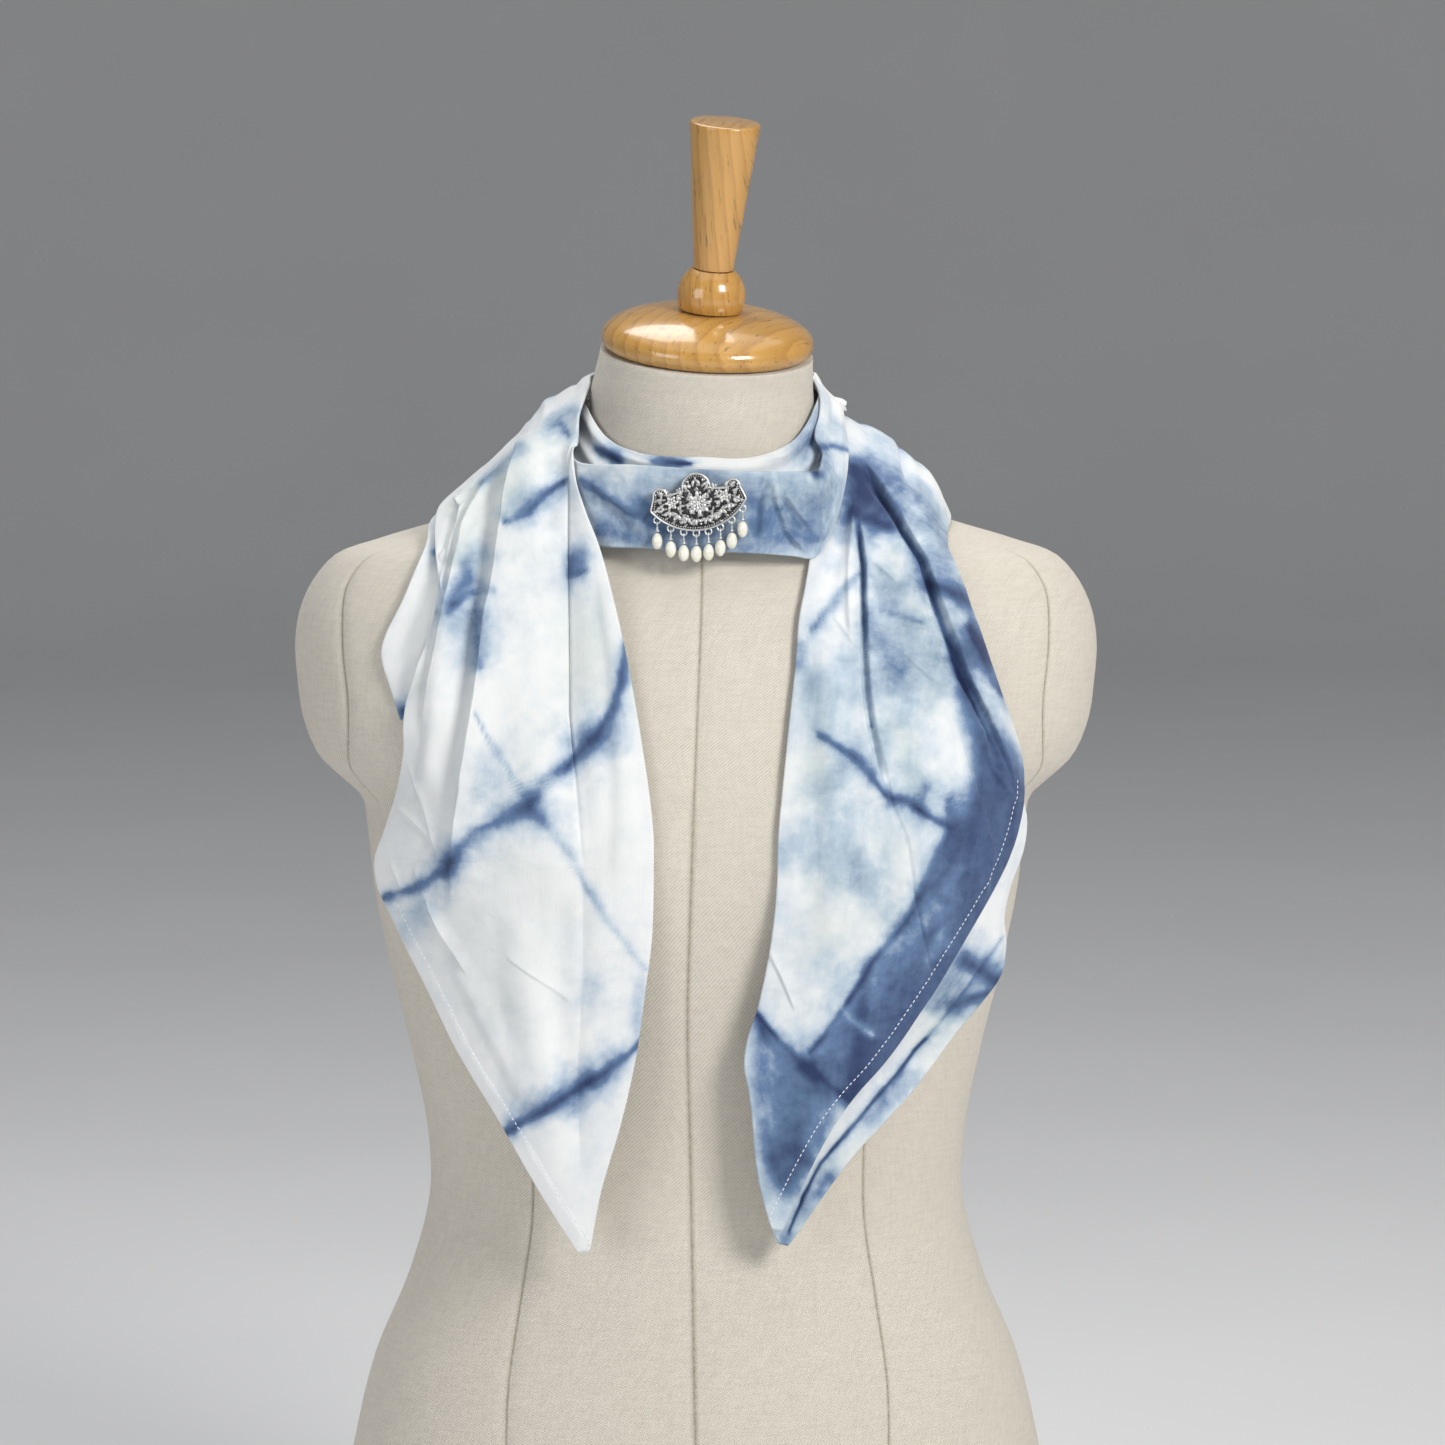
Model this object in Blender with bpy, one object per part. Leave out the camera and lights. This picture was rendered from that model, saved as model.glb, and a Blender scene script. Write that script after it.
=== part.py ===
"""Square cotton scarf worn on a limbless dress form, with a fan brooch and eight pearl drops.

Metres, +Z up. The form's flat underside is at Z = 0, its front faces -Y, and +X is to the
right as seen from the front. Tables are in millimetres and are turned to metres by MM.
"""

import math

import bmesh
import bpy
import numpy as np
from mathutils import Matrix, Vector
from mathutils.bvhtree import BVHTree

MM = 0.001
GAP = 0.3 * MM

# Dress form: one row for each level section, widths and depths from the form's middle line.
FORM_SIDES = 40
FORM_RINGS = 34
FORM_COLUMNS = ("height", "shift_x", "shift_y", "half_width", "front", "back", "squareness")
FORM_SECTIONS = (
    (0, 0, 0, 176, 110, 115, 2.2),
    (5, 0, 0, 180, 113, 119, 2.2),
    (55, 0, 0, 178, 112, 119, 2.2),
    (104, 0, 0, 170, 107, 115, 2.2),
    (150, 0, 0, 159, 102, 105, 2.2),
    (194, 0, 0, 141, 97, 91, 2.2),
    (236, 0, 0, 131, 94, 80, 2.2),
    (262, 0, 0, 132, 95, 79, 2.2),
    (300, 0, 0, 139, 101, 84, 2.2),
    (346, 0, 0, 150, 110, 92, 2.2),
    (386, 0, 0, 158, 115, 96, 2.2),
    (414, 0, 0, 161, 115, 98, 2.2),
    (430, 0, 0, 164, 113, 99, 2.2),
    (438, 0, 0, 173, 112, 99, 2.1),
    (448, 0, 0, 184, 110, 99, 2.0),
    (466, 0, 0, 192, 106, 98, 2.0),
    (486, 0, 0, 195, 100, 96, 2.0),
    (505, 0, 0, 196, 93, 93, 2.0),
    (522, 0, 0, 193, 85, 88, 2.0),
    (536, 0, 0, 186, 77, 82, 2.0),
    (546, 0, 0, 177, 71, 77, 2.0),
    (554, 0, 0, 156, 67, 73, 2.0),
    (563, 0, 0, 126, 63, 69, 2.0),
    (573, 1, 0, 97, 60, 65, 2.0),
    (584, 1, -1, 76, 58, 61, 2.0),
    (597, 2, -2, 61, 56, 58, 2.0),
    (613, 3, -4, 55.5, 54, 55, 2.0),
    (628, 3, -6, 54, 53, 54, 2.0),
)
BUST_HEIGHT = 405 * MM
BUST_SIDE = 84 * MM
BUST_RISE = 14 * MM
BUST_SPREAD = 46 * MM

# Turned cap: a domed disc, a ball and a tapered finial, leaning forward with the neck.
CAP_PLACE = (5.8 * MM, -11 * MM, 652 * MM)
CAP_FORWARD = math.radians(10)
DISC_LEAN = math.radians(3.2)
FINIAL_LEAN = math.radians(4.6)
DISC_RADIUS = 51.7 * MM
DISC_UNDER = 6 * MM
DISC_FLAT_SHARE = 0.90
NECK_TOP_RADIUS = 51.5 * MM
BALL_RADIUS = 16.7 * MM
BALL_RISE = 22 * MM
BALL_FOOT = 15 * MM
BALL_GAP = 0.7 * MM
FINIAL_FOOT = 35.2 * MM
FINIAL_HEAD = 107 * MM
FINIAL_FOOT_RADIUS = 9.8 * MM
FINIAL_HEAD_RADIUS = 17.2 * MM
FINIAL_EASE = 1.2 * MM
TURNED_SIDES = 28
DISC_EDGE_STEPS = 4
DISC_DOME_STEPS = 8
BALL_STEPS = 8
WELD = 0.001 * MM

# Cloth: every stretch is a wall between an inner and an outer edge, a row for each section.
WALL = 1.8 * MM
SETTLE_GAP = 0.5 * MM
SETTLE_REACH = 26 * MM
SETTLE_FINE = 3
SECTION_COLUMNS = ("name", "a_x", "a_y", "a_z", "b_x", "b_y", "b_z", "bulge")

NECK_WRAP_SECTIONS = (
    ("back", 3, 54, 618, 3, 60, 594, 0),
    ("back left", -34, 42, 619, -40, 48, 594, 1),
    ("left", -52, 8, 622, -60, 10, 594, 1),
    ("side left", -51, -18, 619, -60, -24, 588, 1),
    ("front left", -38, -46, 603, -44, -56, 572, 1),
    ("left of centre", -20, -57, 598, -22, -65, 567, 1),
    ("centre", 2, -60, 598, 2, -68, 566, 1),
    ("right of centre", 26, -57, 597.5, 28, -65, 566, 1),
    ("front right", 45, -44, 603.5, 50, -54, 573, 1),
    ("side right", 57, -18, 621, 64, -24, 588, 1),
    ("right", 58, 8, 627, 63, 10, 594, 1),
    ("back right", 40, 42, 621, 45, 48, 594, 1),
    ("back again", 3, 54, 618, 3, 60, 594, 0),
)
FRONT_BAND_SECTIONS = (
    ("left end", -50, 26, 620, -60, 30, 586, 1),
    ("left side", -59, 0, 616, -69, 0, 582, 1),
    ("left turn", -61, -28, 604, -72, -36, 568, 2),
    ("left front", -55, -58, 594.5, -50, -71, 557.5, 2),
    ("left of centre", -28, -77, 594.5, -26, -80, 556.5, 1),
    ("centre", 2, -79, 592.5, 2, -81, 555, 0),
    ("right of centre", 30, -77, 591.5, 28, -80, 554, 1),
    ("right front", 52, -67, 591, 46, -77, 552.5, 2),
    ("lower corner", 59, -61, 591, 58, -71, 551.5, 2),
    ("corner", 61, -54, 595, 67, -62, 567, 2),
    ("upper corner", 61.5, -46, 600, 72, -52, 585, 1),
    ("turn up", 58, -38, 606, 73.5, -40, 597, 1),
    ("strip", 60, -24, 616, 73, -22, 607, 1),
    ("strip side", 60, -8, 627, 71, -4, 617, 1),
    ("strip top", 57, 9, 633, 68.5, 11, 614, 1),
    ("right end", 51, 25, 633, 64, 30, 610, 1),
)
FALL_RIGHT_SECTIONS = (
    ("start", -49, 27, 620, -59, 31.5, 586, 1),
    ("nape left", -32, 46, 620, -40, 54, 585, 1),
    ("nape", 2, 58, 619, 2, 68, 583, 2),
    ("back", 36, 49, 619, 66, 66, 575, 4),
    ("turn", 54, 28, 618, 104, 44, 567, 10),
    ("shoulder", 64, 2, 615, 114, 3, 559, 13),
    ("collar", 65, -28, 597, 114, -28, 552, 9),
    ("under band", 57, -56, 567, 119, -49, 542, 6),
    ("top of chest", 54.5, -73, 545, 128, -58, 530, 6),
    ("chest", 50, -86, 523.5, 137.5, -66, 509, 7),
    ("above bust", 48, -96, 500.5, 147, -70, 482, 8),
    ("bust", 44.5, -107, 471, 154.5, -70, 461, 10),
    ("fullest", 42, -115, 445.5, 157, -69, 438, 13),
    ("corner", 40, -121, 422, 150.5, -72, 411.5, 14),
    ("hem", 39.5, -123, 401, 142, -79, 393.5, 13),
    ("hem two", 37, -124, 375, 127, -89, 369.5, 10),
    ("low", 30.5, -123, 341.5, 106.5, -100, 337, 7),
    ("lower", 24, -121, 318, 91.5, -106, 315, 5),
    ("lower two", 27, -120, 295.5, 72.5, -111, 293.5, 3),
    ("lower three", 32, -118, 269, 57, -114, 268, 1),
    ("tip", 36, -117, 253, 42, -116, 252, 0),
)
FALL_RIGHT_UNDER_SECTIONS = (
    ("top", 90, -103, 462, 150, -70, 458, 5),
    ("fullest", 86, -114, 428, 159, -64, 421, 7),
    ("hem", 73, -118, 388, 148, -71, 381, 8),
    ("hem corner", 59, -118, 360, 148, -71, 354, 9),
    ("low", 38, -118, 329, 123, -87, 322.5, 6),
    ("lower", 29, -116, 298, 100, -98, 294, 4),
    ("lower two", 31, -114, 271, 75, -106, 268, 2),
    ("lower three", 35, -112, 242, 55, -109, 241, 0),
    ("tip", 40, -111, 226, 44, -110, 225, 0),
)
FALL_LEFT_SECTIONS = (
    ("start", 58.5, 10, 634.5, 69, 14, 606, 1),
    ("side right", 50, 31, 635, 61, 38, 602, 1),
    ("nape right", 29, 51, 635, 36, 62, 597, 1),
    ("nape", 2, 60, 634, 2, 74, 590, 2),
    ("back", -34, 50, 634, -60, 72, 574, 5),
    ("turn", -51, 24, 634, -106, 46, 567, 7),
    ("shoulder", -53, -11, 629, -117, 1, 575, 3),
    ("collar", -58, -45, 605, -118, -34, 555, 5),
    ("below collar", -56, -66, 582, -115, -56, 531, 6),
    ("top of chest", -46.5, -79, 558, -122, -65, 509, 6),
    ("chest", -39, -88, 532.5, -133, -69, 483, 7),
    ("above bust", -30.5, -101, 494, -138, -74, 456, 9),
    ("bust", -24.5, -112, 459.5, -144, -74, 436, 13),
    ("fullest", -20, -119, 426, -150, -72, 419.5, 16),
    ("corner", -20, -122, 399, -155, -71, 399, 16),
    ("hem", -21, -123, 375, -144, -79, 375, 13),
    ("hem two", -24.5, -123, 348, -127.5, -91, 345, 10),
    ("low", -28.5, -122, 319, -113, -99, 317, 7),
    ("lower", -35.5, -120, 287, -93, -107, 285, 4),
    ("lower two", -46, -117, 250, -71.5, -112, 248, 1),
    ("tip", -51, -115, 223, -55, -114, 222, 0),
)
FALL_LEFT_LOBE_SECTIONS = (
    ("top", -97, 2, 576, -114, 2, 574, 1),
    ("shoulder", -98, -20, 568, -125, -16, 562, 1),
    ("collar", -99, -38, 551, -126, -34, 546, 1),
    ("chest", -104, -55, 529, -135, -48, 527, 2),
    ("widest", -110, -64, 507, -146, -53, 502, 3),
    ("below", -116, -70, 487, -142, -59, 486, 2),
    ("foot", -124, -73, 473, -136, -67, 470, 1),
)

# Creases: lines that run the length of a stretch. Across gives each line's place between
# the edges, and raised its height in millimetres, both at the named sections.
FALL_LEFT_KEYS = ("start", "nape", "shoulder", "collar", "chest", "bust", "corner", "low", "tip")
FALL_LEFT_CREASES = (
    ("inner edge", (0, 0, 0, 0, 0, 0, 0, 0, 0), (0, 0, 0, 2, 2, 1, 0, 0, 0), 0),
    ("strip crest", (.07, .05, .04, .05, .12, .15, .12, .15, .15), (0, 1, 1, 2, 3, 3, 2, 1, 0), 1),
    ("strip valley", (.14, .10, .08, .10, .25, .30, .235, .295, .29), (0, -1, -2, -3, -4, -4, -3, -2, 0), 1),
    ("facet edge", (.20, .13, .11, .13, .285, .33, .265, .325, .32), (0, 1, 1, 3, 4, 3, 2, 1, 0), 1),
    ("facet crest", (.34, .28, .27, .32, .50, .54, .50, .55, .55), (0, 2, 2, 3, 6, 6, 5, 3, 0), 2),
    ("ridge edge", (.48, .44, .42, .50, .72, .735, .70, .70, .68), (0, 2, 2, 4, 8, 9, 7, 2, 0), 2),
    ("ridge valley", (.56, .50, .48, .57, .79, .79, .75, .75, .73), (0, -1, -2, -4, -4, -5, -3, 0, 0), 1),
    ("middle crest", (.64, .60, .58, .66, .84, .83, .79, .79, .77), (0, 1, 1, 3, 2, 0, 0, 1, 0), 1),
    ("middle valley", (.74, .68, .66, .75, .89, .87, .83, .83, .81), (0, -1, -2, -3, -1, 1, 1, 1, 0), 1),
    ("outer crest", (.86, .80, .80, .86, .95, .93, .90, .89, .87), (0, 2, 1, 2, 2, 4, 4, 2, 0), 1),
    ("outer edge", (1, 1, 1, 1, 1, 1, 1, 1, 1), (0, 0, 0, -2, -3, -3, -2, 0, 0), 1),
)
FALL_RIGHT_KEYS = ("start", "nape", "shoulder", "collar", "chest", "bust", "corner", "low", "tip")
FALL_RIGHT_CREASES = (
    ("inner edge", (0, 0, 0, 0, 0, 0, 0, 0, 0), (0, 0, 0, 0, 1, 1, 0, 0, 0), 0),
    ("inner crest", (.14, .12, .14, .12, .18, .19, .25, .30, .30), (0, 1, 0, 0, 3, 5, 5, 3, 0), 2),
    ("first valley", (.26, .22, .26, .25, .36, .385, .52, .62, .60), (0, -1, -1, -2, -6, -6, 0, 0, 0), 2),
    ("facet edge", (.36, .28, .31, .30, .41, .43, .56, .66, .64), (0, 1, 1, 1, 4, 5, 4, 2, 0), 1),
    ("facet crest", (.46, .38, .38, .41, .56, .60, .68, .74, .72), (0, 2, 2, 3, 5, 5, 4, 2, 0), 1),
    ("lit ridge", (.56, .46, .45, .52, .69, .80, .80, .82, .80), (0, 1, 3, 5, 6, 5, 4, 2, 0), 2),
    ("second valley", (.66, .54, .50, .60, .82, .875, .88, .89, .87), (0, -1, -2, -6, -6, -4, 1, 1, 0), 1),
    ("strip edge", (.76, .60, .54, .65, .86, .91, .92, .92, .91), (0, 1, 3, 6, 5, 3, 2, 1, 0), 1),
    ("strip crest", (.88, .80, .74, .82, .93, .955, .96, .96, .95), (0, 2, 4, 6, 5, 3, 2, 1, 0), 2),
    ("outer edge", (1, 1, 1, 1, 1, 1, 1, 1, 1), (0, 0, 0, -1, -2, -2, -1, 0, 0), 1),
)
NECK_WRAP_KEYS = ("back", "left", "centre", "right", "back again")
NECK_WRAP_CREASES = (
    ("top edge", (0, 0, 0, 0, 0), (0, 0, 0, 0, 0), 0),
    ("top roll", (.14, .12, .16, .12, .14), (1.6, 1.6, 2.0, 1.6, 1.6), 1),
    ("first valley", (.30, .26, .34, .26, .30), (0, -0.4, -0.4, -0.4, 0), 1),
    ("second roll", (.46, .42, .52, .42, .46), (1.6, 2.0, 1.8, 2.0, 1.6), 1),
    ("second valley", (.62, .60, .68, .60, .62), (0, -0.4, 0, -0.4, 0), 1),
    ("third roll", (.80, .78, .84, .78, .80), (1.4, 2.0, 1.0, 2.0, 1.4), 1),
    ("bottom edge", (1, 1, 1, 1, 1), (0, 0, 0, 0, 0), 1),
)
FRONT_BAND_KEYS = ("left end", "left front", "centre", "right front", "corner", "strip", "right end")
FRONT_BAND_CREASES = (
    ("top edge", (0, 0, 0, 0, 0, 0, 0), (0, 0, 0, 0, 0, 0, 0), 0),
    ("upper crest", (.25, .25, .22, .25, .28, .25, .25), (0, .6, .4, 1.0, 1.0, 1.0, 0), 2),
    ("middle trough", (.5, .5, .5, .5, .5, .5, .5), (0, 0, 0, -.8, 0, -.6, 0), 1),
    ("lower crest", (.75, .75, .78, .78, .75, .75, .75), (0, .4, .2, .8, 1.0, 1.0, 0), 1),
    ("bottom edge", (1, 1, 1, 1, 1, 1, 1), (0, 0, 0, 0, 0, 0, 0), 2),
)
LOBE_KEYS = ("top", "collar", "widest", "foot")
LOBE_CREASES = (
    ("inner edge", (0, 0, 0, 0), (0, 0, 0, 0), 0),
    ("crest", (.4, .4, .4, .4), (1, 2, 2, 1), 2),
    ("trough", (.7, .7, .7, .7), (-1, -2, -2, 0), 1),
    ("outer edge", (1, 1, 1, 1), (0, 0, 1, 0), 1),
)
UNDER_KEYS = ("top", "hem", "low", "tip")
UNDER_CREASES = (
    ("inner edge", (0, 0, 0, 0), (0, 0, 0, 0), 0),
    ("crest", (.45, .45, .5, .5), (0, 1, 1, 0), 2),
    ("trough", (.72, .72, .75, .7), (0, -1, -1, 0), 2),
    ("outer edge", (1, 1, 1, 1), (0, 0, 0, 0), 2),
)

# Brooch: a fan plate on a pin bar, with eight rings along its lower arc.
BROOCH_X = 1.6 * MM
BROOCH_Z = 577 * MM
BROOCH_TILT = math.radians(8)
PLATE_HALF_WIDTH = 23.5 * MM
PLATE_ARC_DROP = 12.5 * MM
PLATE_THICKNESS = 1.8 * MM
PLATE_ARC_STEPS = 20
PLATE_TOP = ((17.5, 6.5, 3.6), (0, 8.2, 7.0), (-17.5, 6.5, 3.6))
PLATE_TOP_STEPS = 7
ROSETTES = ((0, 0.5, 6.5), (-12.5, 2.5, 3.6), (12.5, 2.5, 3.6))
ROSETTE_RISE = 1.3 * MM
PIN_LENGTH = 30 * MM
PIN_HEIGHT = 2.4 * MM
PIN_DEPTH = 2.8 * MM
RING_RADIUS = 1.5 * MM
RING_WIRE = 0.4 * MM
RING_BELOW_EDGE = 1.05 * MM
EYE_RADIUS = 1.12 * MM
EYE_WIRE = 0.34 * MM
DROP_COUNT = 8
DROP_PITCH = 5.85 * MM
DROP_STEM = 2.0 * MM
DROP_STEM_HALF = 0.27 * MM
CUP_FLARE = 0.1 * MM
CUP_RADIUS = 1.1 * MM
CUP_HEIGHT = 0.7 * MM
PEARL_RADIUS = 2.65 * MM
PEARL_HALF_HEIGHT = 4.0 * MM
PEARL_SIDES = 10
PEARL_RINGS = 7


def clear_scene():
    """Empty the file of objects and meshes."""
    for old in list(bpy.data.objects):
        bpy.data.objects.remove(old, do_unlink=True)
    for mesh in list(bpy.data.meshes):
        bpy.data.meshes.remove(mesh)


def make_material(name, colour, roughness, metallic=0.0):
    """A Principled material of one colour."""
    material = bpy.data.materials.new(name)
    material.use_nodes = True
    shader = material.node_tree.nodes["Principled BSDF"]
    shader.inputs["Base Color"].default_value = (*colour, 1.0)
    shader.inputs["Roughness"].default_value = roughness
    shader.inputs["Metallic"].default_value = metallic
    return material


def add_object(name, bm, material, smooth_angle=40):
    """Turn a bmesh into a named object, round faces smooth and sharp edges kept."""
    mesh = bpy.data.meshes.new(name)
    bm.to_mesh(mesh)
    bm.free()
    mesh.materials.append(material)
    mesh.shade_smooth()
    mesh.set_sharp_from_angle(angle=math.radians(smooth_angle))
    made = bpy.data.objects.new(name, mesh)
    bpy.context.scene.collection.objects.link(made)
    return made


def bridge_rings(bm, rings):
    """Skin a row of closed rings of points, and close both ends."""
    loops = []
    for ring in rings:
        circle = bmesh.ops.create_circle(bm, segments=len(ring), radius=1.0, cap_ends=False)
        for vert, point in zip(circle["verts"], ring):
            vert.co = point
        loops.append(list({edge for vert in circle["verts"] for edge in vert.link_edges}))
    for lower, upper in zip(loops, loops[1:]):
        bmesh.ops.bridge_loops(bm, edges=lower + upper)
    for end in (loops[0], loops[-1]):
        bmesh.ops.edgeloop_fill(bm, edges=end)
    bmesh.ops.recalc_face_normals(bm, faces=bm.faces)


def cap_matrix(lean, rise=0.0):
    """Place of a turned piece: forward with the neck, leaning to one side."""
    turn = Matrix.Rotation(CAP_FORWARD, 4, "X") @ Matrix.Rotation(lean, 4, "Y")
    return Matrix.Translation(CAP_PLACE) @ turn @ Matrix.Translation((0, 0, rise))


def form_ring(height, shift_x, shift_y, half_width, front, back, squareness):
    """One level section of the form, with the two soft bust mounds."""
    points = []
    for step in range(FORM_SIDES):
        angle = 2 * math.pi * step / FORM_SIDES
        cosine = math.cos(angle)
        sine = math.sin(angle)
        x = math.copysign(abs(cosine) ** (2 / squareness), cosine) * half_width
        depth = front if sine < 0 else back
        y = math.copysign(abs(sine) ** (2 / squareness), sine) * depth
        if sine < 0:
            level = math.exp(-((height - BUST_HEIGHT) / BUST_SPREAD) ** 2)
            mounds = sum(math.exp(-((x - side) / BUST_SPREAD) ** 2) for side in (BUST_SIDE, -BUST_SIDE))
            y -= BUST_RISE * level * mounds * min(1.0, -sine * 2)
        points.append(Vector((x + shift_x, y + shift_y, height)))
    return points


def form_rows():
    """The form's sections at an even spacing along its outline."""
    table = np.array(FORM_SECTIONS, float)
    table[:, :-1] *= MM
    steps = np.hypot(np.diff(table[:, 0]), np.diff(table[:, 3]))
    knots = np.concatenate([[0], np.cumsum(steps)])
    return through_rows(table, knots, np.linspace(0, knots[-1], FORM_RINGS))


def build_form(material):
    """The padded form, from its flat underside to the tilted top of its neck."""
    rings = [form_ring(**dict(zip(FORM_COLUMNS, row))) for row in form_rows()]
    neck_top = cap_matrix(DISC_LEAN, -DISC_UNDER - GAP)
    angles = [2 * math.pi * step / FORM_SIDES for step in range(FORM_SIDES)]
    rings.append([
        neck_top @ Vector((NECK_TOP_RADIUS * math.cos(angle), NECK_TOP_RADIUS * math.sin(angle), 0))
        for angle in angles
    ])
    bm = bmesh.new()
    bridge_rings(bm, rings)
    tree = BVHTree.FromBMesh(bm)
    add_object("form_body", bm, material)
    return tree


def build_turned(name, profile, lean, material):
    """Spin a profile of radius and height about the cap's axis."""
    bm = bmesh.new()
    verts = [bm.verts.new((radius, 0, height)) for radius, height in profile]
    edges = [bm.edges.new(pair) for pair in zip(verts, verts[1:])]
    bmesh.ops.spin(
        bm, geom=verts + edges, cent=(0, 0, 0), axis=(0, 0, 1),
        angle=2 * math.pi, steps=TURNED_SIDES, use_merge=True,
    )
    bmesh.ops.remove_doubles(bm, verts=bm.verts, dist=WELD)
    bmesh.ops.recalc_face_normals(bm, faces=bm.faces)
    bmesh.ops.transform(bm, matrix=cap_matrix(lean), verts=bm.verts)
    return add_object(name, bm, material)


def disc_profile():
    """Domed disc: flat under, rounded rim, flat seat for the ball."""
    seat = math.sqrt(BALL_RADIUS ** 2 - (BALL_RISE - BALL_FOOT) ** 2)
    rise = BALL_FOOT - BALL_GAP
    profile = [(0, -DISC_UNDER), (DISC_RADIUS * DISC_FLAT_SHARE, -DISC_UNDER)]
    for step in range(1, DISC_EDGE_STEPS):
        angle = math.pi / 2 * step / DISC_EDGE_STEPS
        share = DISC_FLAT_SHARE + (1 - DISC_FLAT_SHARE) * math.sin(angle)
        profile.append((DISC_RADIUS * share, -DISC_UNDER * math.cos(angle)))
    for step in range(DISC_DOME_STEPS):
        angle = math.pi / 2 * step / DISC_DOME_STEPS
        radius = seat + (DISC_RADIUS - seat) * math.cos(angle)
        profile.append((radius, rise * math.sin(angle)))
    profile += [(seat, rise), (0, rise)]
    return profile


def ball_profile():
    """Ball cut flat where it meets the disc and the finial."""
    top = FINIAL_FOOT - GAP
    profile = [(0, BALL_FOOT)]
    for step in range(BALL_STEPS + 1):
        height = BALL_FOOT + (top - BALL_FOOT) * step / BALL_STEPS
        profile.append((math.sqrt(BALL_RADIUS ** 2 - (height - BALL_RISE) ** 2), height))
    return profile + [(0, top)]


def finial_profile():
    """Tapered finial, wider at the top, its top edge eased."""
    return [
        (0, FINIAL_FOOT),
        (FINIAL_FOOT_RADIUS, FINIAL_FOOT),
        ((FINIAL_FOOT_RADIUS + FINIAL_HEAD_RADIUS) / 2, (FINIAL_FOOT + FINIAL_HEAD) / 2),
        (FINIAL_HEAD_RADIUS, FINIAL_HEAD - FINIAL_EASE),
        (FINIAL_HEAD_RADIUS - FINIAL_EASE, FINIAL_HEAD),
        (0, FINIAL_HEAD),
    ]


def through_rows(values, knots, places):
    """Smooth curve through rows of values, read at places between the first and last knot."""
    slopes = np.gradient(values, knots, axis=0)
    index = np.clip(np.searchsorted(knots, places, side="right") - 1, 0, len(knots) - 2)
    span = (knots[index + 1] - knots[index])[:, None]
    t = (places - knots[index])[:, None] / span
    start = values[index]
    end = values[index + 1]
    return (
        (2 * t ** 3 - 3 * t ** 2 + 1) * start
        + (t ** 3 - 2 * t ** 2 + t) * span * slopes[index]
        + (3 * t ** 2 - 2 * t ** 3) * end
        + (t ** 3 - t ** 2) * span * slopes[index + 1]
    )


def cloth_grid(sections, keys, creases, rows, hand):
    """Points of a stretch's outer side, and the way out at each, row by row.

    hand is 1 where the way out is edge across times length, and -1 on the other side."""
    table = np.array([row[1:] for row in sections], float) * MM
    names = [row[0] for row in sections]
    a_column = SECTION_COLUMNS.index("a_x") - 1
    b_column = SECTION_COLUMNS.index("b_x") - 1
    middle = (table[:, a_column:a_column + 3] + table[:, b_column:b_column + 3]) / 2
    knots = np.concatenate([[0], np.cumsum(np.linalg.norm(np.diff(middle, axis=0), axis=1))])
    places = np.linspace(0, knots[-1], rows + 1)
    shaped = through_rows(table, knots, places)
    edge_a = shaped[:, a_column:a_column + 3]
    edge_b = shaped[:, b_column:b_column + 3]
    bulge = shaped[:, SECTION_COLUMNS.index("bulge") - 1]
    key_places = np.array([knots[names.index(key)] for key in keys])
    columns_across = []
    columns_raised = []
    for (_, across, raised, steps), before in zip(creases, (creases[0],) + creases):
        this = np.interp(places, key_places, across), np.interp(places, key_places, raised) * MM
        last = np.interp(places, key_places, before[1]), np.interp(places, key_places, before[2]) * MM
        for step in range(1, steps + 1):
            t = step / steps
            eased = 0.5 * t + 0.5 * t * t * (3 - 2 * t)
            columns_across.append(last[0] + (this[0] - last[0]) * t)
            columns_raised.append(last[1] + (this[1] - last[1]) * eased)
        if steps == 0:
            columns_across.append(this[0])
            columns_raised.append(this[1])
    across = np.stack(columns_across, axis=1)
    raised = np.stack(columns_raised, axis=1)
    run = np.gradient((edge_a + edge_b) / 2, places, axis=0)
    out = np.cross(edge_b - edge_a, run) * hand
    out /= np.linalg.norm(out, axis=1)[:, None]
    lift = raised + bulge[:, None] * 4 * across * (1 - across)
    points = (
        edge_a[:, None, :] * (1 - across)[:, :, None]
        + edge_b[:, None, :] * across[:, :, None]
        + out[:, None, :] * lift[:, :, None]
    )
    return points, np.repeat(out[:, None, :], across.shape[1], axis=1)


def finer(values):
    """Values on a grid SETTLE_FINE times as fine, by straight lines between rows and columns."""
    for _ in range(2):
        count = values.shape[0]
        places = np.linspace(0, count - 1, (count - 1) * SETTLE_FINE + 1)
        low = np.minimum(places.astype(int), count - 2)
        part = (places - low)[:, None, None]
        values = (values[low] * (1 - part) + values[low + 1] * part).swapaxes(0, 1)
    return values


def widest_around(values):
    """Each value raised to the largest of its neighbours."""
    padded = np.pad(values, 1, mode="edge")
    rows, columns = values.shape
    return np.max([padded[i:i + rows, j:j + columns] for i in range(3) for j in range(3)], axis=0)


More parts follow.
